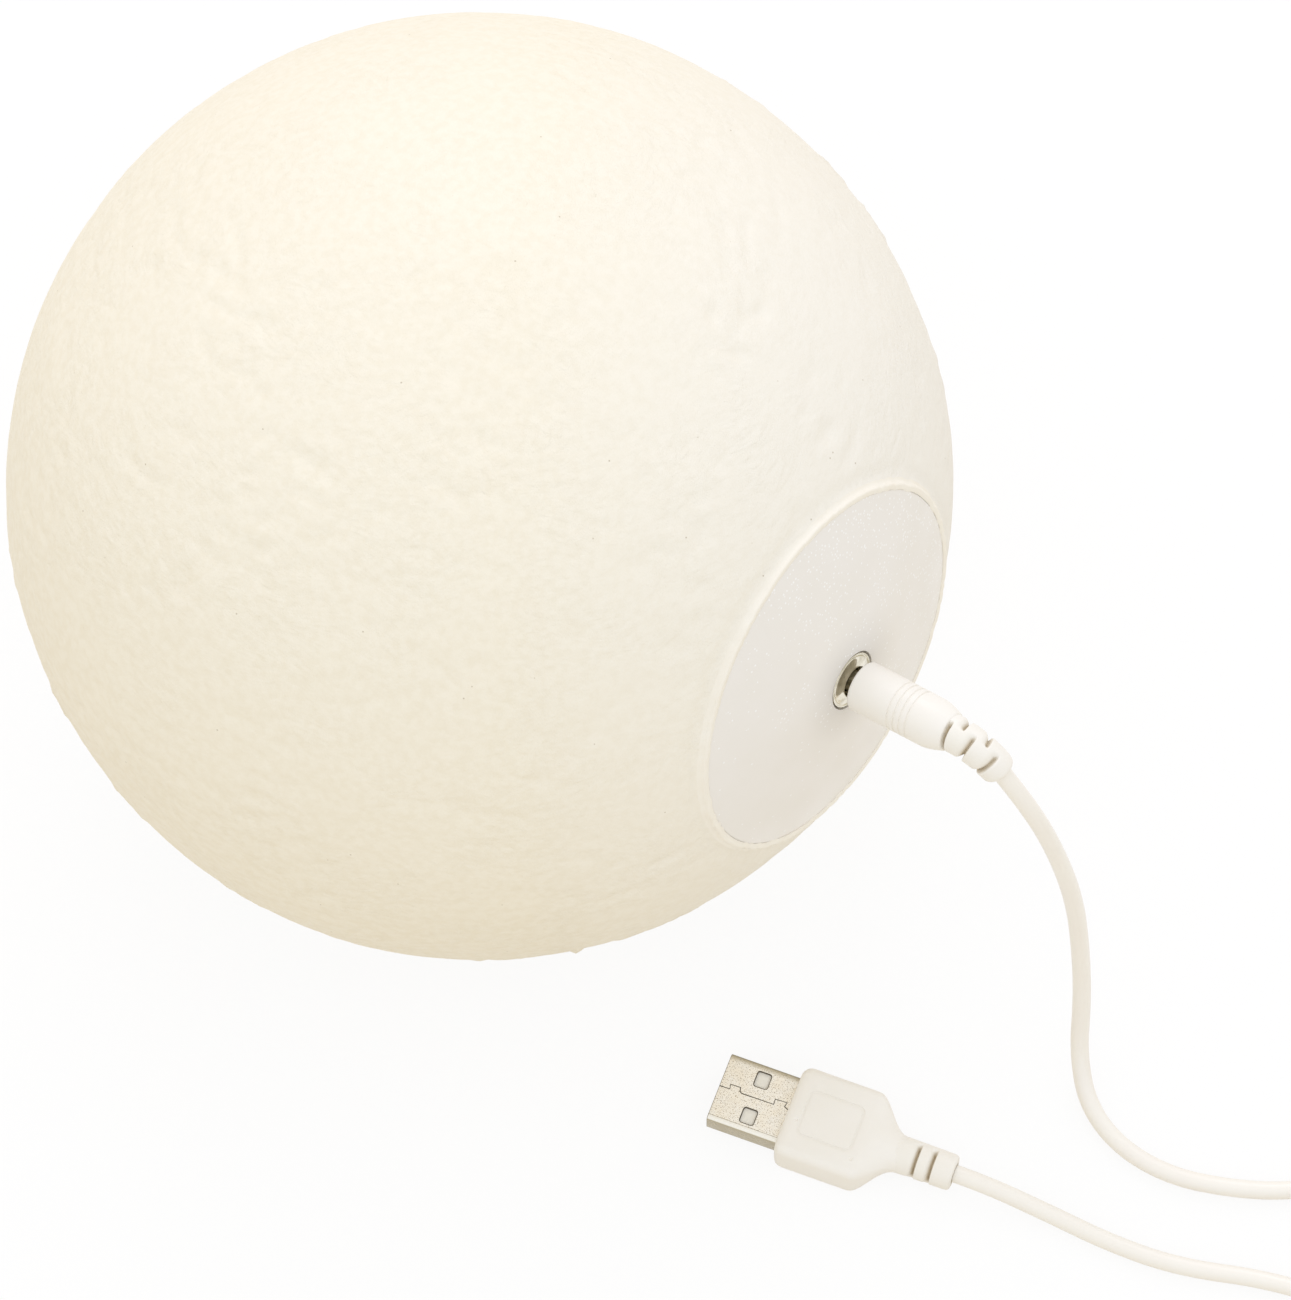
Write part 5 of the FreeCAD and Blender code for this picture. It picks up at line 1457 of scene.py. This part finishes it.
@dataclass
class ChargingPlug(SubAssembly):
    """Round plug of the lead: a moulded grip with fine grooves and a bent strain relief."""

    body = "charging_lead"
    radius: float = 4.1 * MM
    front_round: float = 0.45 * MM
    hole_radius: float = 1.8 * MM
    hole_depth: float = 3.4 * MM
    groove_count: int = 4
    groove_start: float = 7.5 * MM
    groove_pitch: float = 1.15 * MM
    groove_width: float = 0.45 * MM
    groove_depth: float = 0.22 * MM
    shoulder_radius: float = 3.15 * MM
    shoulder_steps: int = 10

    def build(self) -> None:
        """Turn the grip, bend the strain relief, and lay both down."""
        grip = turned("charging_plug_grip", self.profile(), segments=96)
        place(grip, LAMP_PLACE)
        smooth(grip, 35)
        relief = StrainRelief(
            "charging_plug_relief", RELIEF_BEND_RADIUS * RELIEF_TURN, 3.02 * MM, 2.8 * MM,
            near_walls=(0.5 * MM, 3.8 * MM, 7.35 * MM),
            far_walls=(2.1 * MM, 5.55 * MM)).build()
        self.bend(relief)
        place(relief, LAMP_PLACE)
        self.hand_over(grip, MOULDED_PVC, "moulded_pvc", "plug_grip")
        self.hand_over(relief, SLOTTED_PVC, "moulded_pvc", "plug_strain_relief")

    def profile(self) -> list[Corner]:
        """Outline of the grip, from the hole for the sleeve to the end of the shoulder.

        Returns:
            Its corners in order.
        """
        corners = [Corner(self.hole_radius, PLUG_FRONT + self.hole_depth),
                   Corner(self.hole_radius, PLUG_FRONT),
                   Corner(self.radius, PLUG_FRONT, self.front_round)]
        for step in range(self.groove_count):
            start = PLUG_FRONT + self.groove_start + step * self.groove_pitch
            corners += [
                Corner(self.radius - sunk * self.groove_depth, start + share * self.groove_width)
                for sunk, share in ((0, 0), (1, 0.25), (1, 0.75), (0, 1))]
        length = SHOULDER_END - SHOULDER_START
        for step in range(self.shoulder_steps + 1):
            share = step / self.shoulder_steps
            drop = (self.radius - self.shoulder_radius) * (1 - math.cos(math.pi / 2 * share))
            corners.append(Corner(self.radius - drop, SHOULDER_START + length * share,
                                  0.25 * MM if step == self.shoulder_steps else 0))
        return corners

    def bend(self, piece: Object) -> None:
        """Bend the straight relief down along its arc, point by point.

        Args:
            piece: the straight relief.
        """
        for vert in piece.data.vertices:
            angle = min(max(vert.co.z / RELIEF_BEND_RADIUS, 0), RELIEF_TURN)
            beyond = vert.co.z - angle * RELIEF_BEND_RADIUS
            middle, heading = relief_line(angle)
            inward = Vector((math.cos(angle), 0, -math.sin(angle)))
            vert.co = (middle + heading * beyond + inward * vert.co.x
                       + Vector((0, vert.co.y, 0)))


def relief_line(angle: float) -> tuple[Vector, Vector]:
    """Point on the bent middle line of the charging plug's strain relief, and its heading.

    Args:
        angle: how far round the bend, in radians.

    Returns:
        The point and the heading, in the lamp's own frame.
    """
    point = Vector((RELIEF_BEND_RADIUS * (1 - math.cos(angle)), 0,
                    SHOULDER_END + RELIEF_BEND_RADIUS * math.sin(angle)))
    return point, Vector((math.sin(angle), 0, math.cos(angle)))


@dataclass
class UsbPlug(SubAssembly):
    """USB plug: a folded, plated shell, a moulded grip and a slotted strain relief."""

    body = "charging_lead"
    shell_width: float = 12.0 * MM
    shell_height: float = 4.5 * MM
    shell_length: float = 15.4 * MM
    shell_wall: float = 0.32 * MM
    shell_round: float = 0.6 * MM
    window_length: float = 2.3 * MM
    window_width: float = 2.6 * MM
    window_round: float = 0.35 * MM
    window_dark_rim: float = 0.14 * MM      # painted shade: a dark rim round each window
    window_from_tip: float = 6.3 * MM
    window_spacing: float = 6.6 * MM
    seam_radius: float = 0.09 * MM
    # The folded seam's interlocking line along the upper face: from the tip, and across
    seam: tuple[tuple[float, float], ...] = (
        (-0.5, 0.0), (1.8, 0.05), (1.66, 0.85), (3.39, 0.9), (3.5, 0.2), (3.89, 0.0),
        (9.38, 0.05), (9.34, 1.0), (11.36, 1.08), (11.17, 0.32), (11.75, 0.05), (12.5, 0.05))
    grip_width: float = 16.0 * MM
    grip_height: float = 8.0 * MM
    grip_length: float = 13.0 * MM
    grip_round: float = 1.6 * MM
    taper: float = 6.6 * MM
    taper_steps: int = 10
    neck_radius: float = 3.1 * MM
    panel_length: float = 9.7 * MM
    panel_width: float = 8.4 * MM
    panel_from_front: float = 2.4 * MM
    panel_line: float = 0.5 * MM
    panel_depth: float = 0.16 * MM
    panel_corner: float = 1.4 * MM
    nose: float = 1.7 * MM              # length over which the grip's front rounds off
    nose_steps: int = 6
    nose_width: float = 1.5 * MM        # how much it draws in on each side there
    nose_height: float = 0.7 * MM
    roll: float = math.radians(-50)     # turns the relief's scoops upwards
    marks: tuple[tuple[float, float], ...] = ((1.9, -1.7), (12.5, -4.9))

    def build(self) -> list[Object]:
        """Make the shell, the grip and the relief, and set them on the table.

        Returns:
            The three pieces.
        """
        shell = self.shell()
        grip = self.grip()
        relief = StrainRelief(
            "usb_plug_relief", USB_RELIEF_END - USB_GRIP_END, 3.12 * MM, 3.04 * MM,
            near_walls=(2.9 * MM, 5.6 * MM), far_walls=(4.2 * MM, 6.9 * MM),
            near_reach=math.radians(86), far_reach=math.radians(60),
            scoop_radius=2.0 * MM, sink=1.6 * MM, sunk_radius=2.6 * MM).build()
        place(relief, Matrix.Translation((USB_GRIP_END, 0, USB_AXIS_HEIGHT))
              @ Matrix.Rotation(math.radians(90), 4, "Y") @ Matrix.Rotation(self.roll, 4, "Z"))
        for piece in (shell, grip, relief):
            place(piece, USB_PLACE)
        return [self.hand_over(shell, None, "nickel_plate", "usb_shell"),
                self.hand_over(grip, MOULDED_PVC, "moulded_pvc", "usb_grip"),
                self.hand_over(relief, SLOTTED_PVC, "moulded_pvc", "usb_strain_relief")]

    def bar(self, name: str, start: float, end: float, width: float, height: float,
            rounding: float) -> Object:
        """Bar along the plug's axis with its long edges rounded."""
        return rounded_box(name, (start, -width / 2, USB_AXIS_HEIGHT - height / 2),
                           (end, width / 2, USB_AXIS_HEIGHT + height / 2), rounding, 0)

    def shell(self) -> Object:
        """Hollow shell with its windows and its seam.

        Returns:
            The shell.
        """
        wall = self.shell_wall
        shell = self.bar("usb_plug_shell", 0, self.shell_length, self.shell_width,
                         self.shell_height, self.shell_round)
        bevel_edges(shell, 0.12 * MM, 3, lambda edge: all(
            vert.co.x < 0.01 * MM for vert in edge.verts))
        hollow = self.bar("hollow", -1 * MM, self.shell_length + 1 * MM,
                          self.shell_width - 2 * wall, self.shell_height - 2 * wall,
                          self.shell_round - wall)
        STAMPED_NICKEL.dress(shell, hollow)
        carve(shell, hollow)
        tip = self.window_from_tip
        for across in (-self.window_spacing / 2, self.window_spacing / 2):
            # The second cut leaves a shallow rim in the dark seam finish: painted shade round each
            # window
            for rim_width, low in ((0.0, -1 * MM), (self.window_dark_rim, self.shell_top() - 0.07 * MM)):
                half, wide = self.window_length / 2 + rim_width, self.window_width / 2 + rim_width
                window = rounded_box("window", (tip - half, across - wide, low),
                                     (tip + half, across + wide, 2 * self.shell_top()),
                                     self.window_round + rim_width, 2, steps=4)
                SEAM_GAP.dress(window)
                carve(shell, window)
        seam = self.seam_line()
        SEAM_GAP.dress(seam)
        carve(shell, seam)
        smooth(shell, 30)
        return shell

    def shell_top(self) -> float:
        """Height of the shell's upper face."""
        return USB_AXIS_HEIGHT + self.shell_height / 2

    def seam_line(self) -> Object:
        """Thin rod along the seam, to cut it with.

        Returns:
            The rod.
        """
        route = [(along * MM, across * MM, self.shell_top()) for along, across in self.seam]
        rod = draw_line("seam", route, Run.STRAIGHT, self.seam_radius, roundness=1)
        focus(rod)
        bpy.ops.object.convert(target="MESH")
        face_out(rod)
        return rod

    def grip(self) -> Object:
        """Moulded grip: a rounded block that draws in to a round neck, with a blank panel.

        Returns:
            The grip.
        """
        front, middle = USB_FRONT, USB_AXIS_HEIGHT
        back = front + self.grip_length
        grip = self.bar("usb_plug_grip", front + self.nose, back, self.grip_width,
                        self.grip_height, self.grip_round)
        start_edit(grip)
        flat = self.grip_width / 2 - self.grip_round
        for step in range(1, 12):
            self.cut_across(1, -flat + 2 * flat * step / 12, 0)
        flat = self.grip_height / 2 - self.grip_round
        for step in range(1, 4):
            self.cut_across(2, middle - flat + 2 * flat * step / 4, middle)
        select(grip, Pick.FACES, lambda face: min(
            abs(face.calc_center_median().x - back),
            abs(face.calc_center_median().x - front - self.nose)) < NEAR)
        bpy.ops.mesh.delete(type="FACE")
        self.round_nose(grip)
        select(grip, Pick.EDGES,
               lambda edge: edge.is_boundary and edge.verts[0].co.x > back - NEAR)
        neck = 2 * self.neck_radius
        for step in range(1, self.taper_steps + 1):
            share = step / self.taper_steps
            ease = (1 + math.cos(math.pi * share)) / 2
            bpy.ops.mesh.extrude_region_move(
                TRANSFORM_OT_translate={"value": (self.taper / self.taper_steps, 0, 0)})
            bpy.ops.transform.tosphere(value=share ** 1.5)
            self.fit_ring(grip, back + self.taper * share,
                          neck + (self.grip_width - neck) * ease,
                          neck + (self.grip_height - neck) * ease)
        select_all()
        bpy.ops.mesh.fill_holes(sides=0)
        bpy.ops.mesh.normals_make_consistent(inside=False)
        end_edit()
        held = self.bar("held", front - 1 * MM, self.shell_length + 0.05 * MM,
                        self.shell_width + 0.1 * MM, self.shell_height + 0.1 * MM,
                        self.shell_round)
        MOULDED_PVC.dress(grip, held)
        carve(grip, held)
        carve(grip, self.panel_tool())
        for along, across in self.marks:
            carve(grip, self.mark_tool(along * MM, across * MM))
        smooth(grip, 32)
        return grip

    def round_nose(self, piece: Object) -> None:
        """Round the grip off towards its front face, from its open front edge.

        Args:
            piece: the grip, open in edit mode.
        """
        start = USB_FRONT + self.nose
        select(piece, Pick.EDGES,
               lambda edge: edge.is_boundary and edge.verts[0].co.x < start + NEAR)
        reached = 0.0
        for step in range(1, self.nose_steps + 1):
            angle = math.radians(90) * step / self.nose_steps
            ahead = self.nose * math.sin(angle)
            drawn = 2 * (1 - math.cos(angle))
            bpy.ops.mesh.extrude_region_move(
                TRANSFORM_OT_translate={"value": (reached - ahead, 0, 0)})
            reached = ahead
            self.fit_ring(piece, start - ahead, self.grip_width - self.nose_width * drawn,
                          self.grip_height - self.nose_height * drawn)

    def mark_tool(self, along: float, across: float) -> Object:
        """Pin that leaves a moulding mark in the grip's upper face.

        Args:
            along: how far it is from the grip's front.
            across: how far from the plug's axis.

        Returns:
            The pin.
        """
        top = USB_AXIS_HEIGHT + self.grip_height / 2
        pin = turned("mark", [Corner(0.2 * MM, top - 0.15 * MM), Corner(0.42 * MM, top + 0.1 * MM)],
                     segments=16)
        place(pin, Matrix.Translation((USB_FRONT + along, across, 0)))
        MOULDED_PVC.dress(pin)
        return pin

    def cut_across(self, axis: int, at: float, middle: float) -> None:
        """Cut the whole mesh in edit mode by a plane across the Y or Z axis.

        Args:
            axis: 1 for a plane across Y, or 2 across Z.
            at: where the plane cuts that axis.
            middle: height of a point that it passes.
        """
        normal = [0, 0, 0]
        normal[axis] = 1
        spot = [0, 0, middle]
        spot[axis] = at
        select_all()
        bpy.ops.mesh.bisect(plane_co=spot, plane_no=normal)

    def fit_ring(self, piece: Object, at: float, width: float, height: float) -> None:
        """Resize the selected ring of the grip to a width and height.

        Args:
            piece: the grip, open in edit mode.
            at: where the ring is along the plug.
            width: the ring's size across, in metres.
            height: its size upwards, in metres.
        """
        mesh = bmesh.from_edit_mesh(piece.data)
        ring = [vert.co for vert in mesh.verts if vert.select]
        wide = 2 * max(abs(spot.y) for spot in ring)
        high = 2 * max(abs(spot.z - USB_AXIS_HEIGHT) for spot in ring)
        bpy.ops.transform.resize(value=(1, width / wide, height / high),
                                 center_override=(at, 0, USB_AXIS_HEIGHT))

    def panel_tool(self) -> Object:
        """Frame that cuts the outline of the blank panel into the grip's upper face.

        Returns:
            The frame.
        """
        top = USB_AXIS_HEIGHT + self.grip_height / 2
        start = USB_FRONT + self.panel_from_front
        plates = []
        for inset in (0, self.panel_line):
            reach = self.panel_depth * (1 + 2 * bool(inset))
            half = self.panel_width / 2 - inset
            plate = rounded_box("panel", (start + inset, -half, top - reach),
                                (start + self.panel_length - inset, half, top + reach),
                                self.panel_corner - inset, 2)
            MOULDED_PVC.dress(plate)
            plates.append(plate)
        carve(plates[0], plates[1])
        return plates[0]


@dataclass
class Cord(SubAssembly):
    """The lead's thin cord: one line from the charging plug by the coil to the USB plug."""

    body = "charging_lead"
    first_run: float = 9.2 * MM
    last_run: float = 9.0 * MM
    coil_straight: float = 3.0 * MM
    usb_run: float = 5.6 * MM
    climb: float = 0.5                  # turns that a climb from one layer to the next takes
    points_per_turn: int = 16
    # Route from the charging plug to the coil, and from the coil to the USB plug, in millimetres
    lamp_side: tuple[tuple[float, float, float], ...] = (
        (109.2, 2.0, 72.0), (112.4, 3.9, 52.0), (114.6, 3.8, 34.0), (117.0, 2.0, 19.0),
        (119.6, -2.0, 6.0), (125.2, -7.2, 1.5), (133.5, -10.2, 1.5), (143.0, -9.6, 1.5),
        (152.0, -5.8, 1.5), (159.5, -1.2, 1.5), (165.3, 4.3, 1.5), (170.6, 16.0, 1.9))
    usb_side: tuple[tuple[float, float, float], ...] = (
        (188.7, -10.6, 8.6), (177.2, -12.4, 3.6), (165.6, -15.2, 1.5), (153.0, -21.6, 1.5),
        (142.0, -24.6, 1.5), (130.0, -26.4, 1.8))

    def build(self, carried: Sequence[Object]) -> None:
        """Args:
            carried: the pieces at its far end and on it; not used.
        """
        route = self.route()
        cord = draw_line("charging_cord", route, Run.SMOOTH, CORD_DIAMETER / 2, roundness=6)
        cord.data.splines[0].order_u = 3
        cord.data.splines[0].use_endpoint_u = True
        self.hand_over(cord, PVC_JACKET, "cord_pvc", "cord_lamp_run", "cord_coil", "cord_usb_run")

    def route(self) -> list[Vector]:
        """Control points of the whole cord, in the row frame, in metres.

        Returns:
            The points in order.
        """
        end, heading = relief_line(RELIEF_TURN)
        usb = USB_PLACE @ Vector((USB_RELIEF_END, 0, USB_AXIS_HEIGHT))
        usb_exit = USB_PLACE @ Vector((USB_RELIEF_END + self.usb_run, 0, USB_AXIS_HEIGHT))
        far = -self.coil_straight - self.last_run
        points = [LAMP_PLACE @ end, LAMP_PLACE @ (end + heading * self.first_run)]
        points += [Vector(spot) * MM for spot in self.lamp_side]
        points += [coil_way(far, COIL_OUTER_RADIUS, COIL_FOOT),
                   coil_way(-self.coil_straight, COIL_OUTER_RADIUS, COIL_FOOT)]
        total = COIL_TURNS_PER_LAYER * COIL_LAYERS
        count = round(total * self.points_per_turn)
        points += [self.coil(total * step / count) for step in range(count + 1)]
        points += [coil_way(-self.coil_straight, -COIL_OUTER_RADIUS, COIL_HEAD),
                   coil_way(far, -COIL_OUTER_RADIUS, COIL_HEAD)]
        points += [Vector(spot) * MM for spot in self.usb_side]
        return points + [usb_exit, usb]

    def coil(self, turns: float) -> Vector:
        """Control point of the coil after some turns: in and out at a steady rate, up by layers.

        Args:
            turns: turns from where the cord runs into the coil.

        Returns:
            The point, in metres.
        """
        layer = min(int(turns / COIL_TURNS_PER_LAYER), COIL_LAYERS - 1)
        into = turns - layer * COIL_TURNS_PER_LAYER
        inward = into if layer % 2 == 0 else COIL_TURNS_PER_LAYER - into
        radius = COIL_OUTER_RADIUS - COIL_PITCH * inward
        height = COIL_FOOT + layer * COIL_PITCH
        to_next = COIL_TURNS_PER_LAYER - into
        if to_next < self.climb / 2 and layer < COIL_LAYERS - 1:
            height += COIL_PITCH * smooth_step(0.5 - to_next / self.climb)
        if into < self.climb / 2 and layer > 0:
            height -= COIL_PITCH * smooth_step(0.5 - into / self.climb)
        angle = math.radians(90) + COIL_DIRECTION - 2 * math.pi * turns
        swell = 1 / (1 - (math.pi / self.points_per_turn) ** 2 / 2)
        return COIL_MIDDLE + Vector((radius * swell * math.cos(angle),
                                     radius * swell * math.sin(angle), height))


def coil_way(along: float, across: float, height: float) -> Vector:
    """Point beside the coil: along the way the cord runs in, and across to its left, in metres."""
    return COIL_MIDDLE + Matrix.Rotation(COIL_DIRECTION, 3, "Z") @ Vector((along, across, height))


@dataclass
class CoilTie(SubAssembly):
    """Flat silicone tie round the coil, closed with a button on top."""

    body = "charging_lead"
    thickness: float = 0.7 * MM
    width: float = 6.0 * MM
    clearance: float = 0.35 * MM
    bend: float = 1.0 * MM
    # Profile of the button: radius, height over the band and rounding, in mm
    button: Profile = ((0.5, -0.1, 0), (2.2, -0.1, 0), (2.2, 1.2, 0.35), (1.3, 1.2, 0.1),
                       (0.9, 0.9, 0))

    def build(self) -> Object:
        """Make the band and its button, and set them round the coil.

        Returns:
            The tie.
        """
        half_cord = CORD_DIAMETER / 2
        near = (COIL_OUTER_RADIUS - COIL_PITCH * COIL_TURNS_PER_LAYER - half_cord
                - self.clearance)
        far = COIL_OUTER_RADIUS + half_cord + self.clearance
        top = COIL_HEAD + half_cord + self.clearance
        lid = top + self.thickness
        wide = self.width / 2
        band = rounded_box("coil_tie", (near - self.thickness, -wide, 0),
                           (far + self.thickness, wide, lid), self.bend, 1)
        hole = rounded_box("hole", (near, -self.width, self.thickness), (far, self.width, top),
                           self.clearance, 1, steps=3)
        SILICONE.dress(band, hole)
        carve(band, hole)
        bevel_edges(band, 0.12 * MM, 2, lambda edge: edge.calc_face_angle(0) > 1.2)
        button = turned("button", [Corner(radius * MM, lid + height * MM, rounding * MM)
                                   for radius, height, rounding in self.button], segments=48)
        SILICONE.dress(button)
        place(button, Matrix.Translation(((near + far) / 2, 0, 0)))
        tie = join(band, [button])
        place(tie, Matrix.Translation(COIL_MIDDLE) @ Matrix.Rotation(COIL_DIRECTION, 4, "Z"))
        smooth(tie, 35)
        return self.hand_over(tie, SILICONE, "tie_band", "cord_tie")


@dataclass
class CarriedNodes:
    """CAD nodes whose shape is right: they stay, with finishes of their own."""

    dressed: tuple[tuple[Finish, str], ...] = (
        (NICKEL, "jack_nut touch_tag jack_pin jack_terminals"), (SLEEVE_NICKEL, "plug_sleeve"),
        (GOLD, "jack_spring plug_contact usb_contacts"), (TOUCH_WIRE, "touch_lead"),
        (WIRE_PVC, "battery_leads led_leads"), (WHITE_NYLON, "battery_socket"),
        (BLACK_PLASTIC, "jack_body touch_chip charge_chip plug_insulator"),
        (GREEN_BOARD, "main_board"), (CAPACITOR_CAN, "capacitors"), (FERRITE, "inductor"),
        (TONGUE_PLASTIC, "usb_tongue usb_carrier"), (CELL_FOIL, "battery_pouch"),
        (FOAM, "battery_pad"), (BRASS, "led_spacers"), (WHITE_BOARD, "led_board"),
        (LED_PACKAGE, "led_chips"), (STEEL, "led_screws"))

    def build(self) -> None:
        """Dress every CAD node that no piece replaces."""
        for finish, names in self.dressed:
            finish.dress(*(frame["nodes"][name] for name in names.split()))
            log.info("%s: %s", finish.name, names)


# ---- Camera and studio --------------------------------------------------------------------------

CAMERA_PLACE = Vector((343.91, -442.11, 1357.47)) * MM
CAMERA_RIGHT = Vector((0.81714, 0.57643, 0.0))
CAMERA_UP = Vector((-0.53255, 0.75494, 0.38268))
CAMERA_BACK = Vector((0.22059, -0.31271, 0.92388))
WHITE = (1, 1, 1, 1)


def outline_spot(bearing: float) -> Vector:
    """Place on the ball's outline as the camera sees it, in the lamp's own frame.

    Args:
        bearing: angle round the picture from its right, in radians.

    Returns:
        The point on the ball, in metres.
    """
    toward = BALL_RADIUS / 1.5          # the outline lies nearer than the middle, by perspective
    way = (CAMERA_RIGHT * math.cos(bearing) + CAMERA_UP * math.sin(bearing)
           + CAMERA_BACK * toward).normalized()
    return LAMP_PLACE.to_3x3().inverted() @ way * BALL_RADIUS


@dataclass
class Studio:
    """White table, soft daylight from all round, and one large soft lamp from behind the ball."""

    floor_size: float = 4.0
    floor_colour: str = "e2d6bc"        # warm to the light that it throws back at the ball
    floor_shown: float = 0.88           # how much of the floor is plain white to the camera
    sky: float = 0.96
    key_power: float = 4.5
    key_colour: tuple[float, float, float] = (1.0, 0.94, 1.06)
    key_size: float = 0.9
    key_place: tuple[float, float, float] = (-0.75, 0.95, 1.25)
    lens: float = 244.4

    def build(self) -> None:
        """Lay the floor, light it, and set up the camera."""
        self.floor()
        self.world()
        self.key()
        self.camera()
        bpy.context.scene.view_settings.view_transform = "Standard"

    def floor(self) -> None:
        """Plain pale floor. The camera sees it white, with the object's shadow kept on it."""
        deselect_all()
        bpy.ops.mesh.primitive_plane_add(size=self.floor_size)
        floor = settle("studio_floor")
        material = bpy.data.materials.new("matt_white_paper")
        floor.data.materials.append(material)
        tree = empty_nodes(material)
        seen = self.seen(tree)
        tone = add_node(tree, "Mix", {
            MIX_FACTOR: seen, MIX_A: linear(self.floor_colour), MIX_B: WHITE}, data_type="RGBA")
        share = add_node(tree, "Math", {0: seen, 1: self.floor_shown}, operation="MULTIPLY")
        both = add_node(tree, "MixShader", {
            0: share, 1: add_node(tree, "BsdfDiffuse", {"Color": tone}),
            2: add_node(tree, "Emission", {"Color": WHITE, "Strength": 1.0})})
        add_node(tree, "OutputMaterial", {"Surface": both})

    def seen(self, tree: Tree) -> Any:
        """Output that is 1 for what the camera sees directly, by reflection or through glass.

        Args:
            tree: the nodes of the floor or world.

        Returns:
            The output, or the node that gives it.
        """
        ray = add_node(tree, "LightPath")
        seen: Any = ray.outputs["Is Camera Ray"]
        for kind in ("Is Glossy Ray", "Is Transmission Ray"):
            seen = add_node(tree, "Math", {0: seen, 1: ray.outputs[kind]}, operation="MAXIMUM")
        return seen

    def world(self) -> None:
        """Soft daylight, a plain white background to the camera."""
        world = bpy.data.worlds.new("studio_sky")
        bpy.context.scene.world = world
        tree = empty_nodes(world)
        strength = add_node(tree, "MapRange", {"Value": self.seen(tree), "To Min": self.sky})
        sky = add_node(tree, "Background", {"Color": WHITE, "Strength": strength})
        add_node(tree, "OutputWorld", {"Surface": sky})

    def key(self) -> None:
        """Large soft lamp that shows the relief from behind and above."""
        light = bpy.data.lights.new("key_softbox", "AREA")
        light.shape = "SQUARE"
        light.size = self.key_size
        light.energy = self.key_power
        light.color = self.key_colour
        lamp = add_object("key_softbox", light)
        lamp.location = self.key_place
        target = Vector((0, 0, BALL_RADIUS))
        lamp.rotation_euler = (target - lamp.location).to_track_quat("-Z", "Y").to_euler()

    def camera(self) -> None:
        """Camera at the photograph's viewing angle."""
        data = bpy.data.cameras.new("camera")
        data.lens = self.lens
        data.sensor_width = 36.0
        data.sensor_fit = "AUTO"
        camera = add_object("camera", data)
        turn = Matrix((CAMERA_RIGHT, CAMERA_UP, CAMERA_BACK)).transposed()
        camera.matrix_world = Matrix.Translation(CAMERA_PLACE) @ turn.to_4x4()
        bpy.context.scene.camera = camera


def main() -> None:
    """Build the studio, then each sub-assembly in order."""
    logging.basicConfig(level=logging.INFO, format="%(message)s")
    Studio().build()
    ChargingPlug().build()
    usb = UsbPlug().build()
    tie = CoilTie().build()
    inner = [frame["nodes"][name] for name in ("usb_tongue", "usb_contacts", "usb_carrier")]
    Cord().build(usb + inner + [tie])
    MoonShell().build()
    BaseCover().build()
    TouchRing().build()
    CarriedNodes().build()


if __name__ == "__main__":
    main()
